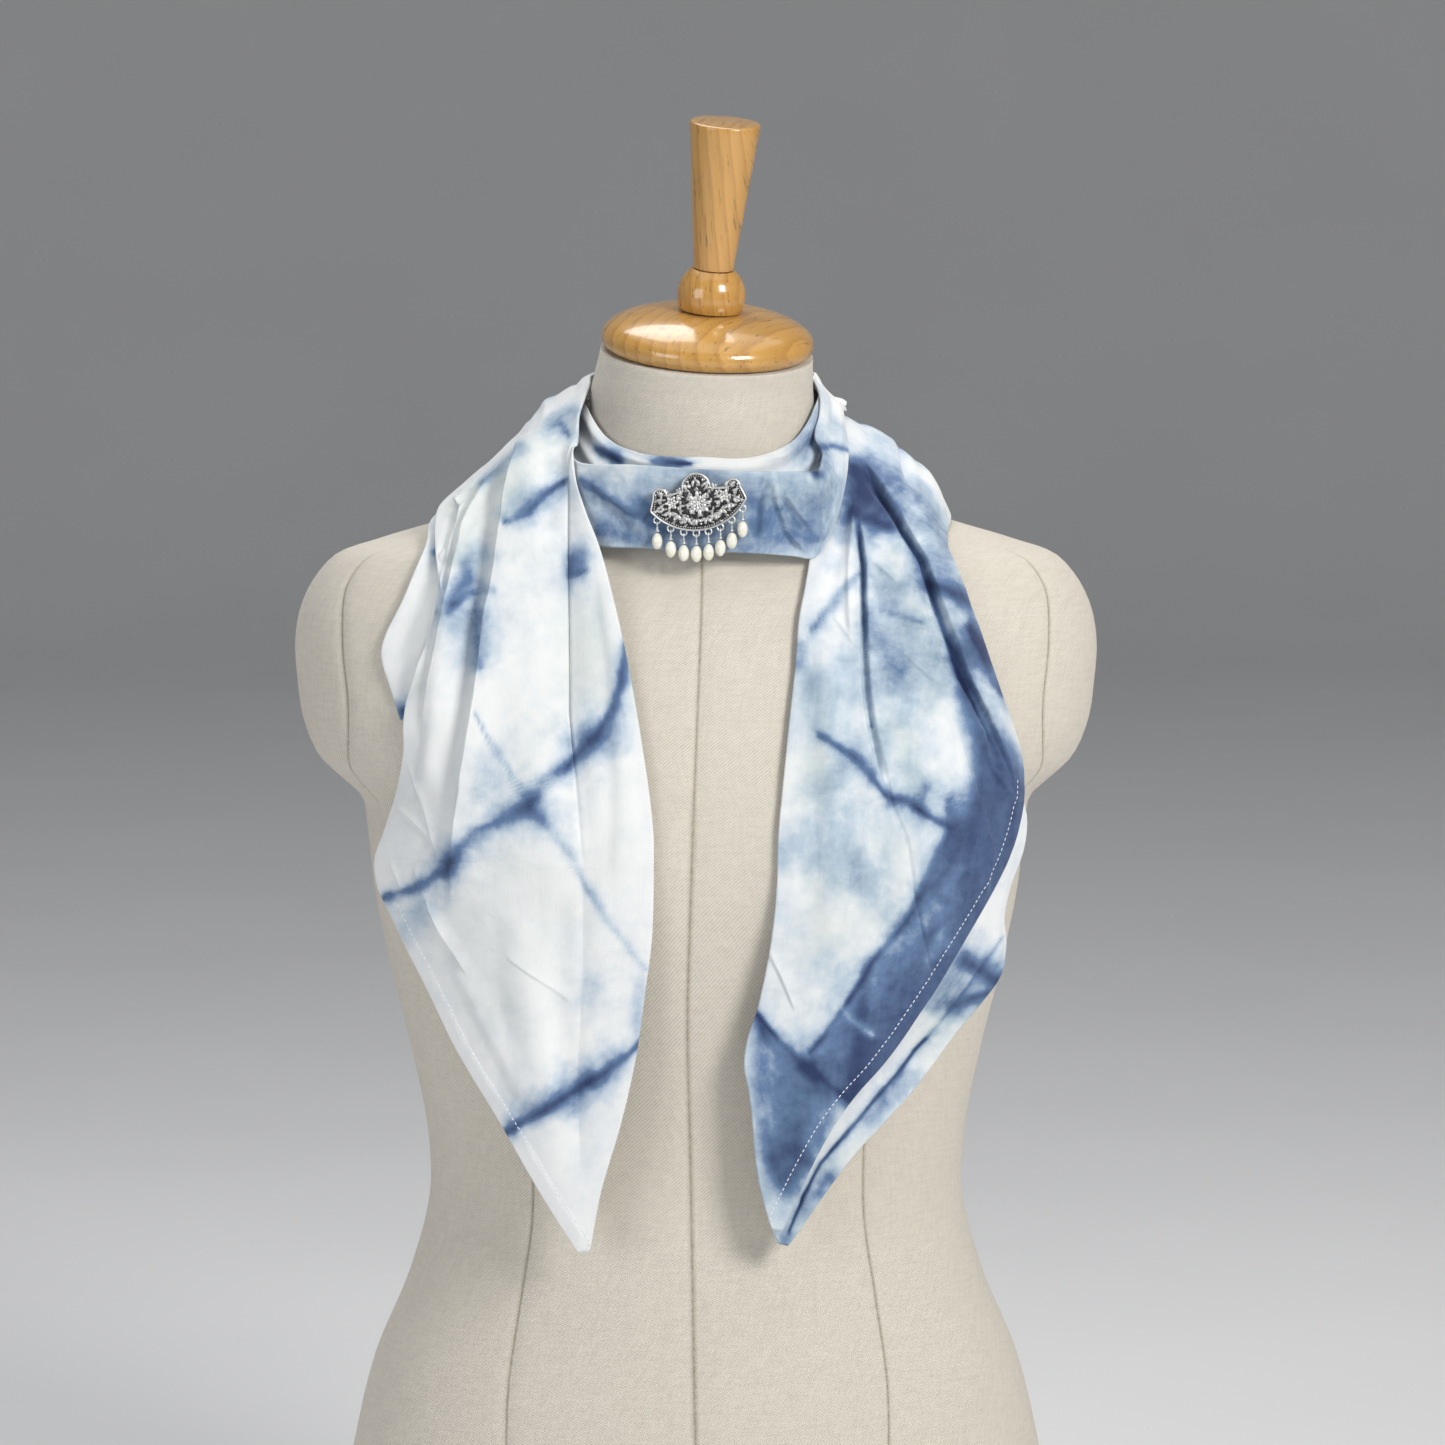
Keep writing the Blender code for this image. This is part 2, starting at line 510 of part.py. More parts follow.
def settle(points, out, obstacles):
    """Move points out until the wall clears everything that lies under it."""
    fine_points = finer(points)
    fine_out = finer(out)
    needed = np.zeros(fine_points.shape[:2])
    for row, column in np.ndindex(needed.shape):
        direction = Vector(fine_out[row, column]).normalized()
        start = Vector(fine_points[row, column]) + direction * SETTLE_REACH
        for tree in obstacles:
            distance = tree.ray_cast(start, -direction, 2 * SETTLE_REACH)[3]
            if distance is not None:
                needed[row, column] = max(needed[row, column], SETTLE_REACH - distance + WALL + SETTLE_GAP)
    for _ in range(SETTLE_FINE - 1):
        needed = widest_around(needed)
    lifts = needed[::SETTLE_FINE, ::SETTLE_FINE]
    rows, columns = lifts.shape
    for _ in range(2):
        padded = np.pad(lifts, 1, mode="edge")
        even = sum(padded[i:i + rows, j:j + columns] for i in range(3) for j in range(3)) / 9
        lifts = np.maximum(lifts, even)
    return points + out * lifts[:, :, None]


def build_cloth(name, sections, keys, creases, rows, hand, obstacles, material, closed=False):
    """A stretch of cloth as one closed wall, resting on the pieces under it."""
    points, out = cloth_grid(sections, keys, creases, rows, hand)
    points = settle(points, out, obstacles)
    if closed:
        points[-1] = points[0]
        out[-1] = out[0]
    columns = points.shape[1] - 1
    bm = bmesh.new()
    grid = bmesh.ops.create_grid(bm, x_segments=columns, y_segments=rows, size=0.5)
    ways_out = {}
    for vert in grid["verts"]:
        column = round((vert.co.x + 0.5) * columns)
        row = round((vert.co.y + 0.5) * rows)
        vert.co = points[row, column]
        ways_out[vert] = Vector(out[row, column])
    if closed:
        bmesh.ops.remove_doubles(bm, verts=bm.verts, dist=WELD)
    ways_out = {vert: ways_out[vert] for vert in bm.verts}
    inner = {tuple(vert.co): vert.co - way * WALL for vert, way in ways_out.items()}
    made = bmesh.ops.extrude_face_region(bm, geom=list(bm.faces))
    for part in made["geom"]:
        if isinstance(part, bmesh.types.BMVert):
            part.co = inner[tuple(part.co)]
    bmesh.ops.recalc_face_normals(bm, faces=bm.faces)
    bmesh.ops.triangulate(bm, faces=bm.faces)
    tree = BVHTree.FromBMesh(bm)
    add_object(name, bm, material, 50)
    return tree, points


def torus(bm, radius, wire, axis, centre, around=10, sides=6):
    """A wire ring about an axis, through a centre, flat on its outer side."""
    turn = Vector((0, 0, 1)).rotation_difference(Vector(axis)).to_matrix().to_4x4()
    turn = turn @ Matrix.Rotation(math.pi / around, 4, "Z")
    section = Matrix.Rotation(math.pi / 2, 4, "X") @ Matrix.Rotation(math.pi / sides, 4, "Z")
    before = set(bm.verts)
    circle = bmesh.ops.create_circle(
        bm, segments=sides, radius=wire, cap_ends=False,
        matrix=Matrix.Translation((radius, 0, 0)) @ section,
    )
    edges = list({edge for vert in circle["verts"] for edge in vert.link_edges})
    bmesh.ops.spin(
        bm, geom=circle["verts"] + edges, cent=(0, 0, 0), axis=(0, 0, 1),
        angle=2 * math.pi, steps=around, use_merge=True,
    )
    made = [vert for vert in bm.verts if vert not in before]
    bmesh.ops.transform(bm, matrix=Matrix.Translation(centre) @ turn, verts=made)
    bmesh.ops.recalc_face_normals(bm, faces=list({face for vert in made for face in vert.link_faces}))


def drop_places():
    """Centre of each plate ring in the plate's own plane, evenly along the lower arc."""
    arc_radius = (PLATE_HALF_WIDTH ** 2 + PLATE_ARC_DROP ** 2) / (2 * PLATE_ARC_DROP)
    places = []
    for number in range(DROP_COUNT):
        x = (number - (DROP_COUNT - 1) / 2) * DROP_PITCH
        z = arc_radius - PLATE_ARC_DROP - math.sqrt(arc_radius ** 2 - x ** 2)
        places.append((x, z - RING_BELOW_EDGE))
    return places


def plate_outline():
    """Fan outline: the lower arc from left to right, then three lobes back along the top."""
    arc_radius = (PLATE_HALF_WIDTH ** 2 + PLATE_ARC_DROP ** 2) / (2 * PLATE_ARC_DROP)
    half_angle = math.asin(PLATE_HALF_WIDTH / arc_radius)
    outline = []
    for step in range(PLATE_ARC_STEPS + 1):
        angle = -half_angle + 2 * half_angle * step / PLATE_ARC_STEPS
        z = arc_radius - PLATE_ARC_DROP - arc_radius * math.cos(angle)
        outline.append((arc_radius * math.sin(angle), z))
    for centre_x, centre_z, radius in PLATE_TOP:
        for step in range(PLATE_TOP_STEPS + 1):
            angle = math.radians(-10) + math.radians(200) * step / PLATE_TOP_STEPS
            outline.append((
                (centre_x + radius * math.cos(angle)) * MM,
                (centre_z + radius * math.sin(angle)) * MM,
            ))
    return outline


def brooch_matrix(back_y):
    """From the plate's own plane, with its back at zero depth, to its place on the band."""
    return Matrix.Translation((BROOCH_X, back_y, BROOCH_Z)) @ Matrix.Rotation(-BROOCH_TILT, 4, "Y")


def mark_cutter(cutter):
    """A shape that only serves a Boolean."""
    cutter.hide_render = True
    cutter.display_type = "WIRE"


def build_brooch(back_y, metal):
    """The plate with its rosettes and rings, the pin bar behind it, and each ring's place."""
    place = brooch_matrix(back_y)
    bm = bmesh.new()
    verts = [bm.verts.new((x, 0, z)) for x, z in plate_outline()]
    bm.faces.new(verts)
    made = bmesh.ops.extrude_face_region(bm, geom=list(bm.faces))
    front = [part for part in made["geom"] if isinstance(part, bmesh.types.BMVert)]
    bmesh.ops.translate(bm, vec=(0, -PLATE_THICKNESS, 0), verts=front)
    bmesh.ops.transform(bm, matrix=place, verts=bm.verts)
    bmesh.ops.triangulate(bm, faces=bm.faces)
    bmesh.ops.recalc_face_normals(bm, faces=bm.faces)
    plate = add_object("brooch_plate", bm, metal, 30)

    rings = bmesh.new()
    hinges = []
    for x, z in drop_places():
        centre = place @ Vector((x, -PLATE_THICKNESS / 2, z))
        torus(rings, RING_RADIUS, RING_WIRE, (0, 1, 0), centre)
        hinges.append(centre - Vector((0, 0, RING_RADIUS)))
    rings_object = add_object("brooch_rings_cutter", rings, metal)
    mark_cutter(rings_object)

    rosettes = bmesh.new()
    for x, z, radius in ROSETTES:
        shape = place @ Matrix.Translation((x * MM, -PLATE_THICKNESS, z * MM))
        flat = Matrix.Diagonal((radius * MM, ROSETTE_RISE, radius * MM, 1))
        bmesh.ops.create_icosphere(rosettes, subdivisions=2, radius=1.0, matrix=shape @ flat)
    rosettes_object = add_object("brooch_rosettes_cutter", rosettes, metal)
    mark_cutter(rosettes_object)

    for cutter in (rings_object, rosettes_object):
        union = plate.modifiers.new("join " + cutter.name, "BOOLEAN")
        union.operation = "UNION"
        union.object = cutter

    bar = bmesh.new()
    size = Matrix.Diagonal((PIN_LENGTH, PIN_DEPTH, PIN_HEIGHT, 1))
    middle = Matrix.Translation((0, GAP + PIN_DEPTH / 2, 0))
    bmesh.ops.create_cube(bar, size=1.0, matrix=place @ middle @ size)
    add_object("brooch_pin", bar, metal)
    return hinges


def drop_wire_mesh():
    """Eye, stem and cup drawn from one wire: the eye's lowest face is pulled down."""
    bm = bmesh.new()
    torus(bm, EYE_RADIUS, EYE_WIRE, (1, 0, 0), (0, 0, 0))
    bm.faces.ensure_lookup_table()
    face = min(bm.faces, key=lambda each: each.calc_center_median().z)
    steps = ((DROP_STEM_HALF, DROP_STEM), (CUP_RADIUS, CUP_FLARE), (CUP_RADIUS, CUP_HEIGHT))
    foot = face.calc_center_median().z
    for half, fall in steps:
        made = bmesh.ops.extrude_discrete_faces(bm, faces=[face])
        face = made["faces"][0]
        foot -= fall
        for vert in face.verts:
            middle = face.calc_center_median()
            side = Vector((vert.co.x - middle.x, vert.co.y - middle.y))
            vert.co = (math.copysign(half, side.x), math.copysign(half, side.y), foot)
    bmesh.ops.recalc_face_normals(bm, faces=bm.faces)
    return bm, foot


def build_drops(hinges, metal, pearl):
    """Eight drops, each with its origin on its hinge: a wire and the pearl under it."""
    wire_bm, foot = drop_wire_mesh()
    pearl_bm = bmesh.new()
    shape = Matrix.Diagonal((PEARL_RADIUS, PEARL_RADIUS, PEARL_HALF_HEIGHT, 1))
    middle = Matrix.Translation((0, 0, foot - GAP - PEARL_HALF_HEIGHT))
    bmesh.ops.create_uvsphere(
        pearl_bm, u_segments=PEARL_SIDES, v_segments=PEARL_RINGS, radius=1.0, matrix=middle @ shape,
    )
    first_wire = add_object("wire_1", wire_bm, metal)
    first_pearl = add_object("pearl_1", pearl_bm, pearl)
    first_wire.location = hinges[0]
    first_pearl.location = hinges[0]
    for number, hinge in enumerate(hinges[1:], start=2):
        for kind, first in (("wire", first_wire), ("pearl", first_pearl)):
            copy = bpy.data.objects.new("%s_%d" % (kind, number), first.data)
            copy.location = hinge
            bpy.context.scene.collection.objects.link(copy)


def main():
    """Build every piece, from the form outwards."""
    clear_scene()
    linen = make_material("linen", (0.70, 0.64, 0.54), 0.9)
    wood = make_material("honey wood", (0.72, 0.42, 0.16), 0.25)
    cotton = make_material("dyed cotton", (0.78, 0.82, 0.88), 0.85)
    silver = make_material("aged silver", (0.60, 0.60, 0.58), 0.35, 1.0)
    pearl = make_material("pearl", (0.86, 0.84, 0.76), 0.25)
    form = build_form(linen)
    build_turned("neck_cap", disc_profile(), DISC_LEAN, wood)
    build_turned("cap_ball", ball_profile(), FINIAL_LEAN, wood)
    build_turned("cap_finial", finial_profile(), FINIAL_LEAN, wood)
    wrap, _ = build_cloth("neck_wrap", NECK_WRAP_SECTIONS, NECK_WRAP_KEYS, NECK_WRAP_CREASES,
                          44, 1, [form], cotton, closed=True)
    under, _ = build_cloth("fall_right_under", FALL_RIGHT_UNDER_SECTIONS, UNDER_KEYS, UNDER_CREASES,
                           16, -1, [form], cotton)
    right, _ = build_cloth("fall_right", FALL_RIGHT_SECTIONS, FALL_RIGHT_KEYS, FALL_RIGHT_CREASES,
                           44, -1, [form, wrap, under], cotton)
    band, band_points = build_cloth("front_band", FRONT_BAND_SECTIONS, FRONT_BAND_KEYS, FRONT_BAND_CREASES,
                                    40, 1, [form, wrap, right], cotton)
    lobe, _ = build_cloth("fall_left_lobe", FALL_LEFT_LOBE_SECTIONS, LOBE_KEYS, LOBE_CREASES,
                          16, 1, [form], cotton)
    build_cloth("fall_left", FALL_LEFT_SECTIONS, FALL_LEFT_KEYS, FALL_LEFT_CREASES,
                44, 1, [form, wrap, right, band, lobe], cotton)
    behind = [
        point[1] for point in band_points.reshape(-1, 3)
        if abs(point[0] - BROOCH_X) < PLATE_HALF_WIDTH and point[2] < BROOCH_Z + PLATE_ARC_DROP
    ]
    hinges = build_brooch(min(behind) - 2 * GAP - PIN_DEPTH, silver)
    build_drops(hinges, silver, pearl)


main()
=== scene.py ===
"""Dyed cotton scarf on a limbless dress form, with a fan brooch and eight pearl drops.

Laid out as a Blender add-on and run as a script. Metres, +Z up, front towards -Y. Tables of
sizes are in millimetres, and MM turns them to metres. Marks and fine folds on the front are
placed in view points: the front view is VIEW_SIDE points wide, counted from its upper left.
"""

import math
import bmesh
import bpy
import numpy as np
from mathutils import Matrix, Vector
from mathutils.bvhtree import BVHTree


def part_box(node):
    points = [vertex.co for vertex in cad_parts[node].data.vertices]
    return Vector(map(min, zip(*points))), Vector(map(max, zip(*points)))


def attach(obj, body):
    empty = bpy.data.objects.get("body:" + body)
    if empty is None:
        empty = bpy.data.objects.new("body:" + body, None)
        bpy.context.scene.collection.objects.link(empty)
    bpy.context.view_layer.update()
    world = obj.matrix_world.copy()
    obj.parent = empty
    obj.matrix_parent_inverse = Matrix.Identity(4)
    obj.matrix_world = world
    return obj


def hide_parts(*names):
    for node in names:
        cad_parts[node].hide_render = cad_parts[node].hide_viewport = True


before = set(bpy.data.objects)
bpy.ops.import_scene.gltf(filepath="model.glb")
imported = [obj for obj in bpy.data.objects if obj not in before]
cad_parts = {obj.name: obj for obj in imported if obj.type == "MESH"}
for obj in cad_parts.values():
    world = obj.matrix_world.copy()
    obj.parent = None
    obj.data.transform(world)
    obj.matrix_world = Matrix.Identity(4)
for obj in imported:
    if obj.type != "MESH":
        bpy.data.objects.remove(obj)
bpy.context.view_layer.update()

bl_info = {
    "name": "Dyed Scarf on Dress Form",
    "version": (1, 0, 0),
    "blender": (4, 5, 0),
    "location": "View3D > Sidebar > Scarf",
    "description": "Builds a dyed scarf on a dress form, with a fan brooch and pearl drops",
    "category": "Object",
}

MM = 0.001
GAP = 0.3 * MM

# Front view: what the camera sees, so that marks placed in view points land on the cloth.
VIEW_SIDE = 1445
VIEW_POINT = 0.49 * MM
VIEW_AIM = (0.013, 0.0, 0.464)
VIEW_DISTANCE = 3.0
VIEW_RISE = math.radians(6)
VIEW_LOOK = (0, math.cos(VIEW_RISE), -math.sin(VIEW_RISE))
VIEW_UP = (0, math.sin(VIEW_RISE), math.cos(VIEW_RISE))
SENSOR = 36.0

# What lies in front of SEEN_FROM is seen, and what lies SEEN_OVER behind it isn't.
SEEN_FROM = -12 * MM
SEEN_OVER = 20 * MM

# Dress form: one row for each level section, widths and depths from the form's middle line.
# Columns: height, shift in x and y, half width, depth in front and behind, squareness.
FORM_SECTIONS = (
    (0, 0, 0, 176, 110, 115, 2.2),
    (5, 0, 0, 180, 113, 119, 2.2),
    (55, 0, 0, 178, 112, 119, 2.2),
    (104, 0, 0, 170, 107, 115, 2.2),
    (150, 0, 0, 159, 102, 105, 2.2),
    (194, 0, 0, 141, 97, 91, 2.2),
    (236, 0, 0, 131, 94, 80, 2.2),
    (262, 0, 0, 132, 95, 79, 2.2),
    (300, 0, 0, 139, 101, 84, 2.2),
    (346, 0, 0, 150, 110, 92, 2.2),
    (386, 0, 0, 158, 115, 96, 2.2),
    (414, 0, 0, 161, 115, 98, 2.2),
    (430, 0, 0, 164, 113, 99, 2.2),
    (438, 0, 0, 173, 112, 99, 2.1),
    (448, 0, 0, 184, 110, 99, 2.0),
    (466, 0, 0, 192, 106, 98, 2.0),
    (486, 0, 0, 195, 100, 96, 2.0),
    (505, 0, 0, 196, 93, 93, 2.0),
    (522, 0, 0, 193, 85, 88, 2.0),
    (536, 0, 0, 186, 77, 82, 2.0),
    (546, 0, 0, 177, 71, 77, 2.0),
    (554, 0, 0, 156, 67, 73, 2.0),
    (563, 0, 0, 126, 63, 69, 2.0),
    (573, 1, 0, 97, 60, 65, 2.0),
    (584, 1, -1, 76, 58, 61, 2.0),
    (597, 2, -2, 61, 56, 58, 2.0),
    (613, 3, -4, 55.5, 54, 55, 2.0),
    (628, 3, -6, 54, 53, 54, 2.0),
)
BUST_HEIGHT = 405 * MM
BUST_SIDE = 84 * MM
BUST_RISE = 14 * MM
BUST_SPREAD = 46 * MM

# Turned cap: a domed disc, a ball and a tapered finial, leaning forward with the neck.
CAP_PLACE = (5.8 * MM, -11 * MM, 652 * MM)
CAP_FORWARD = math.radians(10)
DISC_LEAN = math.radians(3.2)
FINIAL_LEAN = math.radians(4.6)
DISC_RADIUS = 51.7 * MM
DISC_UNDER = 6 * MM
DISC_FLAT_SHARE = 0.90
NECK_TOP_RADIUS = 51.5 * MM
BALL_RADIUS = 16.7 * MM
BALL_RISE = 22 * MM
BALL_FOOT = 15 * MM
BALL_GAP = 0.7 * MM
FINIAL_FOOT = 35.2 * MM
FINIAL_HEAD = 107 * MM
FINIAL_FOOT_RADIUS = 9.8 * MM
FINIAL_HEAD_RADIUS = 17.2 * MM
FINIAL_EASE = 1.2 * MM
FINIAL_FOOT_EASE = 0.3 * MM
WELD = 0.001 * MM

# Cloth: every stretch is a wall between an inner and an outer edge, a row for each section.
WALL = 1.8 * MM
SETTLE_GAP = 0.5 * MM
SETTLE_REACH = 26 * MM
SETTLE_FINE = 3

# Columns: name, edge a in x, y and z, edge b in x, y and z, and the bulge between them.
NECK_WRAP_SECTIONS = (
    ("back", 3, 54, 618, 3, 60, 594, 0),
    ("back left", -34, 42, 619, -40, 48, 594, 1),
    ("left", -52, 8, 622, -60, 10, 594, 1),
    ("side left", -51, -18, 619, -60, -24, 588, 1),
    ("front left", -38, -46, 603, -44, -56, 572, 1),
    ("left of centre", -20, -57, 598, -22, -65, 567, 1),
    ("centre", 2, -60, 598, 2, -68, 566, 1),
    ("right of centre", 26, -57, 597.5, 28, -65, 566, 1),
    ("front right", 45, -44, 603.5, 50, -54, 573, 1),
    ("side right", 57, -18, 621, 64, -24, 588, 1),
    ("right", 58, 8, 627, 63, 10, 594, 1),
    ("back right", 40, 42, 621, 45, 48, 594, 1),
    ("back again", 3, 54, 618, 3, 60, 594, 0),
)
FRONT_BAND_SECTIONS = (
    ("left end", -50, 26, 620, -60, 30, 586, 1),
    ("left side", -59, 0, 616, -69, 0, 582, 1),
    ("left turn", -61, -28, 604, -72, -36, 568, 2),
    ("left front", -55, -58, 594.5, -50, -71, 557.5, 2),
    ("left of centre", -28, -77, 594.5, -26, -80, 556.5, 1),
    ("centre", 2, -79, 592.5, 2, -81, 555, 0),
    ("right of centre", 30, -77, 591.5, 28, -80, 554, 1),
    ("right front", 52, -67, 591, 46, -77, 552.5, 2),
    ("lower corner", 59, -61, 591, 58, -71, 551.5, 2),
    ("corner", 61, -54, 595, 67, -62, 567, 2),
    ("upper corner", 61.5, -46, 600, 72, -52, 585, 1),
    ("turn up", 58, -38, 606, 73.5, -40, 597, 1),
    ("strip", 60, -24, 616, 73, -22, 607, 1),
    ("strip side", 60, -8, 627, 71, -4, 617, 1),
    ("strip top", 57, 9, 633, 68.5, 11, 614, 1),
    ("right end", 51, 25, 633, 64, 30, 610, 1),
)
FALL_RIGHT_SECTIONS = (
    ("start", -49, 27, 620, -59, 31.5, 586, 1),
    ("nape left", -32, 46, 620, -40, 54, 585, 1),
    ("nape", 2, 58, 619, 2, 68, 583, 2),
    ("back", 36, 49, 619, 66, 66, 575, 4),
    ("turn", 54, 28, 618, 104, 44, 567, 10),
    ("shoulder", 64, 2, 615, 114, 3, 559, 13),
    ("collar", 65, -28, 597, 114, -28, 552, 9),
    ("under band", 57, -56, 567, 119, -49, 542, 6),
    ("top of chest", 54.5, -73, 545, 128, -58, 530, 6),
    ("chest", 50, -86, 523.5, 137.5, -66, 509, 7),
    ("above bust", 48, -96, 500.5, 147, -70, 482, 8),
    ("bust", 44.5, -107, 471, 154.5, -70, 461, 10),
    ("fullest", 42, -115, 445.5, 157, -69, 438, 13),
    ("corner", 40, -121, 422, 150.5, -72, 411.5, 14),
    ("hem", 39.5, -123, 401, 142, -79, 393.5, 13),
    ("hem two", 37, -124, 375, 127, -89, 369.5, 10),
    ("low", 30.5, -123, 341.5, 106.5, -100, 337, 7),
    ("lower", 24, -121, 318, 91.5, -106, 315, 5),
    ("lower two", 27, -120, 295.5, 72.5, -111, 293.5, 3),
    ("lower three", 31, -118, 257, 51, -115, 256, 1),
    ("tip", 37, -117, 234, 41, -116, 233, 0),
)
FALL_RIGHT_UNDER_SECTIONS = (
    ("top", 90, -103, 462, 150, -70, 458, 5),
    ("fullest", 86, -114, 428, 159, -64, 421, 7),
    ("hem", 73, -118, 388, 148, -71, 381, 8),
    ("hem corner", 59, -118, 360, 148, -71, 354, 9),
    ("low", 38, -118, 329, 123, -87, 322.5, 6),
    ("lower", 29, -116, 298, 100, -98, 294, 4),
    ("lower two", 31, -114, 271, 75, -106, 268, 2),
    ("lower three", 35, -112, 242, 55, -109, 241, 0),
    ("tip", 40, -111, 226, 44, -110, 225, 0),
)
FALL_LEFT_SECTIONS = (
    ("start", 58.5, 10, 634.5, 69, 14, 606, 1),
    ("side right", 50, 31, 635, 61, 38, 602, 1),
    ("nape right", 29, 51, 635, 36, 62, 597, 1),
    ("nape", 2, 60, 634, 2, 74, 590, 2),
    ("back", -34, 50, 634, -60, 72, 574, 5),
    ("turn", -51, 24, 634, -106, 46, 567, 7),
    ("shoulder", -53, -11, 629, -117, 1, 575, 3),
    ("collar", -58, -45, 605, -118, -34, 555, 5),
    ("below collar", -56, -66, 582, -115, -56, 531, 6),
    ("top of chest", -46.5, -79, 558, -122, -65, 509, 6),
    ("chest", -39, -88, 532.5, -133, -69, 483, 7),
    ("above bust", -30.5, -101, 494, -138, -74, 456, 9),
    ("bust", -24.5, -112, 459.5, -144, -74, 436, 13),
    ("fullest", -20, -119, 426, -150, -72, 419.5, 16),
    ("corner", -20, -122, 399, -155, -71, 399, 16),
    ("hem", -21, -123, 375, -144, -79, 375, 13),
    ("hem two", -24.5, -123, 348, -127.5, -91, 345, 10),
    ("low", -28.5, -122, 319, -113, -99, 317, 7),
    ("lower", -35.5, -120, 287, -93, -107, 285, 4),
    ("lower two", -46, -117, 250, -71.5, -112, 248, 1),
    ("tip", -51, -115, 223, -55, -114, 222, 0),
)
FALL_LEFT_LOBE_SECTIONS = (
    ("top", -97, 2, 576, -114, 2, 574, 1),
    ("shoulder", -98, -20, 568, -125, -16, 562, 1),
    ("collar", -99, -38, 551, -126, -34, 546, 1),
    ("chest", -104, -55, 529, -135, -48, 527, 2),
    ("widest", -110, -64, 507, -146, -53, 502, 3),
    ("below", -116, -70, 487, -142, -59, 486, 2),
    ("foot", -124, -73, 473, -136, -67, 470, 1),
)

# Creases: lines that run the length of a stretch, over the named sections. Columns: name,
# place between the edges and height in millimetres at each section, and the columns of
# the coarse grid from the line before.
FALL_LEFT_KEYS = ("start", "nape", "shoulder", "collar", "chest", "bust", "corner", "low", "tip")
FALL_LEFT_CREASES = (
    ("inner edge", (0, 0, 0, 0, 0, 0, 0, 0, 0), (0, 0, 0, 2, 2, 1, 0, 0, 0), 0),
    ("strip crest", (.07, .05, .04, .05, .12, .15, .12, .15, .15), (0, 1, 1, 2, 3, 3, 2, 1, 0), 1),
    ("strip valley", (.14, .10, .08, .10, .25, .30, .235, .295, .29), (0, -1, -2, -3, -4, -4, -3,
     -2, 0), 1),
    ("facet edge", (.20, .13, .11, .13, .285, .33, .265, .325, .32), (0, 1, 1, 3, 4, 3, 2, 1, 0),
     1),
    ("facet crest", (.34, .28, .27, .32, .50, .54, .50, .55, .55), (0, 2, 2, 3, 6, 6, 5, 3, 0), 2),
    ("ridge edge", (.48, .44, .42, .50, .72, .735, .70, .70, .68), (0, 2, 2, 4, 8, 9, 7, 2, 0), 2),
    ("ridge valley", (.56, .50, .48, .57, .79, .79, .75, .75, .73), (0, -1, -2, -4, -4, -5, -3, 0,
     0), 1),
    ("middle crest", (.64, .60, .58, .66, .84, .83, .79, .79, .77), (0, 1, 1, 3, 2, 0, 0, 1, 0),
     1),
    ("middle valley", (.74, .68, .66, .75, .89, .87, .83, .83, .81), (0, -1, -2, -3, -1, 1, 1, 1,
     0), 1),
    ("outer crest", (.86, .80, .80, .86, .95, .93, .90, .89, .87), (0, 2, 1, 2, 2, 4, 4, 2, 0), 1),
    ("outer edge", (1, 1, 1, 1, 1, 1, 1, 1, 1), (0, 0, 0, -2, -3, -3, -2, 0, 0), 1),
)
FALL_RIGHT_KEYS = ("start", "nape", "shoulder", "collar", "chest", "bust", "corner", "low", "tip")
FALL_RIGHT_CREASES = (
    ("inner edge", (0, 0, 0, 0, 0, 0, 0, 0, 0), (0, 0, 0, 0, 1, 1, 0, 0, 0), 0),
    ("inner crest", (.14, .12, .14, .12, .18, .19, .25, .30, .30), (0, 1, 0, 0, 3, 5, 5, 3, 0), 2),
    ("first valley", (.26, .22, .26, .25, .36, .385, .52, .62, .60), (0, -1, -1, -2, -6, -6, 0, 0,
     0), 2),
    ("facet edge", (.36, .28, .31, .30, .41, .43, .56, .66, .64), (0, 1, 1, 1, 4, 5, 4, 2, 0), 1),
    ("facet crest", (.46, .38, .38, .41, .56, .60, .68, .74, .72), (0, 2, 2, 3, 5, 5, 4, 2, 0), 1),
    ("lit ridge", (.56, .46, .45, .52, .69, .80, .80, .82, .80), (0, 1, 3, 5, 6, 5, 4, 2, 0), 2),
    ("second valley", (.66, .54, .50, .60, .82, .875, .88, .89, .87), (0, -1, -2, -6, -6, -4, 1, 1,
     0), 1),
    ("strip edge", (.76, .60, .54, .65, .86, .91, .92, .92, .91), (0, 1, 3, 6, 5, 3, 2, 1, 0), 1),
    ("strip crest", (.88, .80, .74, .82, .93, .955, .96, .96, .95), (0, 2, 4, 6, 5, 3, 2, 1, 0),
     2),
    ("outer edge", (1, 1, 1, 1, 1, 1, 1, 1, 1), (0, 0, 0, -1, -2, -2, -1, 0, 0), 1),
)
NECK_WRAP_KEYS = ("back", "left", "centre", "right", "back again")
NECK_WRAP_CREASES = (
    ("top edge", (0, 0, 0, 0, 0), (0, 0, 0, 0, 0), 0),
    ("top roll", (.14, .12, .16, .12, .14), (1.6, 1.6, 2.0, 1.6, 1.6), 1),
    ("first valley", (.30, .26, .34, .26, .30), (0, -0.4, -0.4, -0.4, 0), 1),
    ("second roll", (.46, .42, .52, .42, .46), (1.6, 2.0, 1.8, 2.0, 1.6), 1),
    ("second valley", (.62, .60, .68, .60, .62), (0, -0.4, 0, -0.4, 0), 1),
    ("third roll", (.80, .78, .84, .78, .80), (1.4, 2.0, 1.0, 2.0, 1.4), 1),
    ("bottom edge", (1, 1, 1, 1, 1), (0, 0, 0, 0, 0), 1),
)
FRONT_BAND_KEYS = (
    "left end", "left front", "centre", "right front", "corner", "strip", "right end",
)
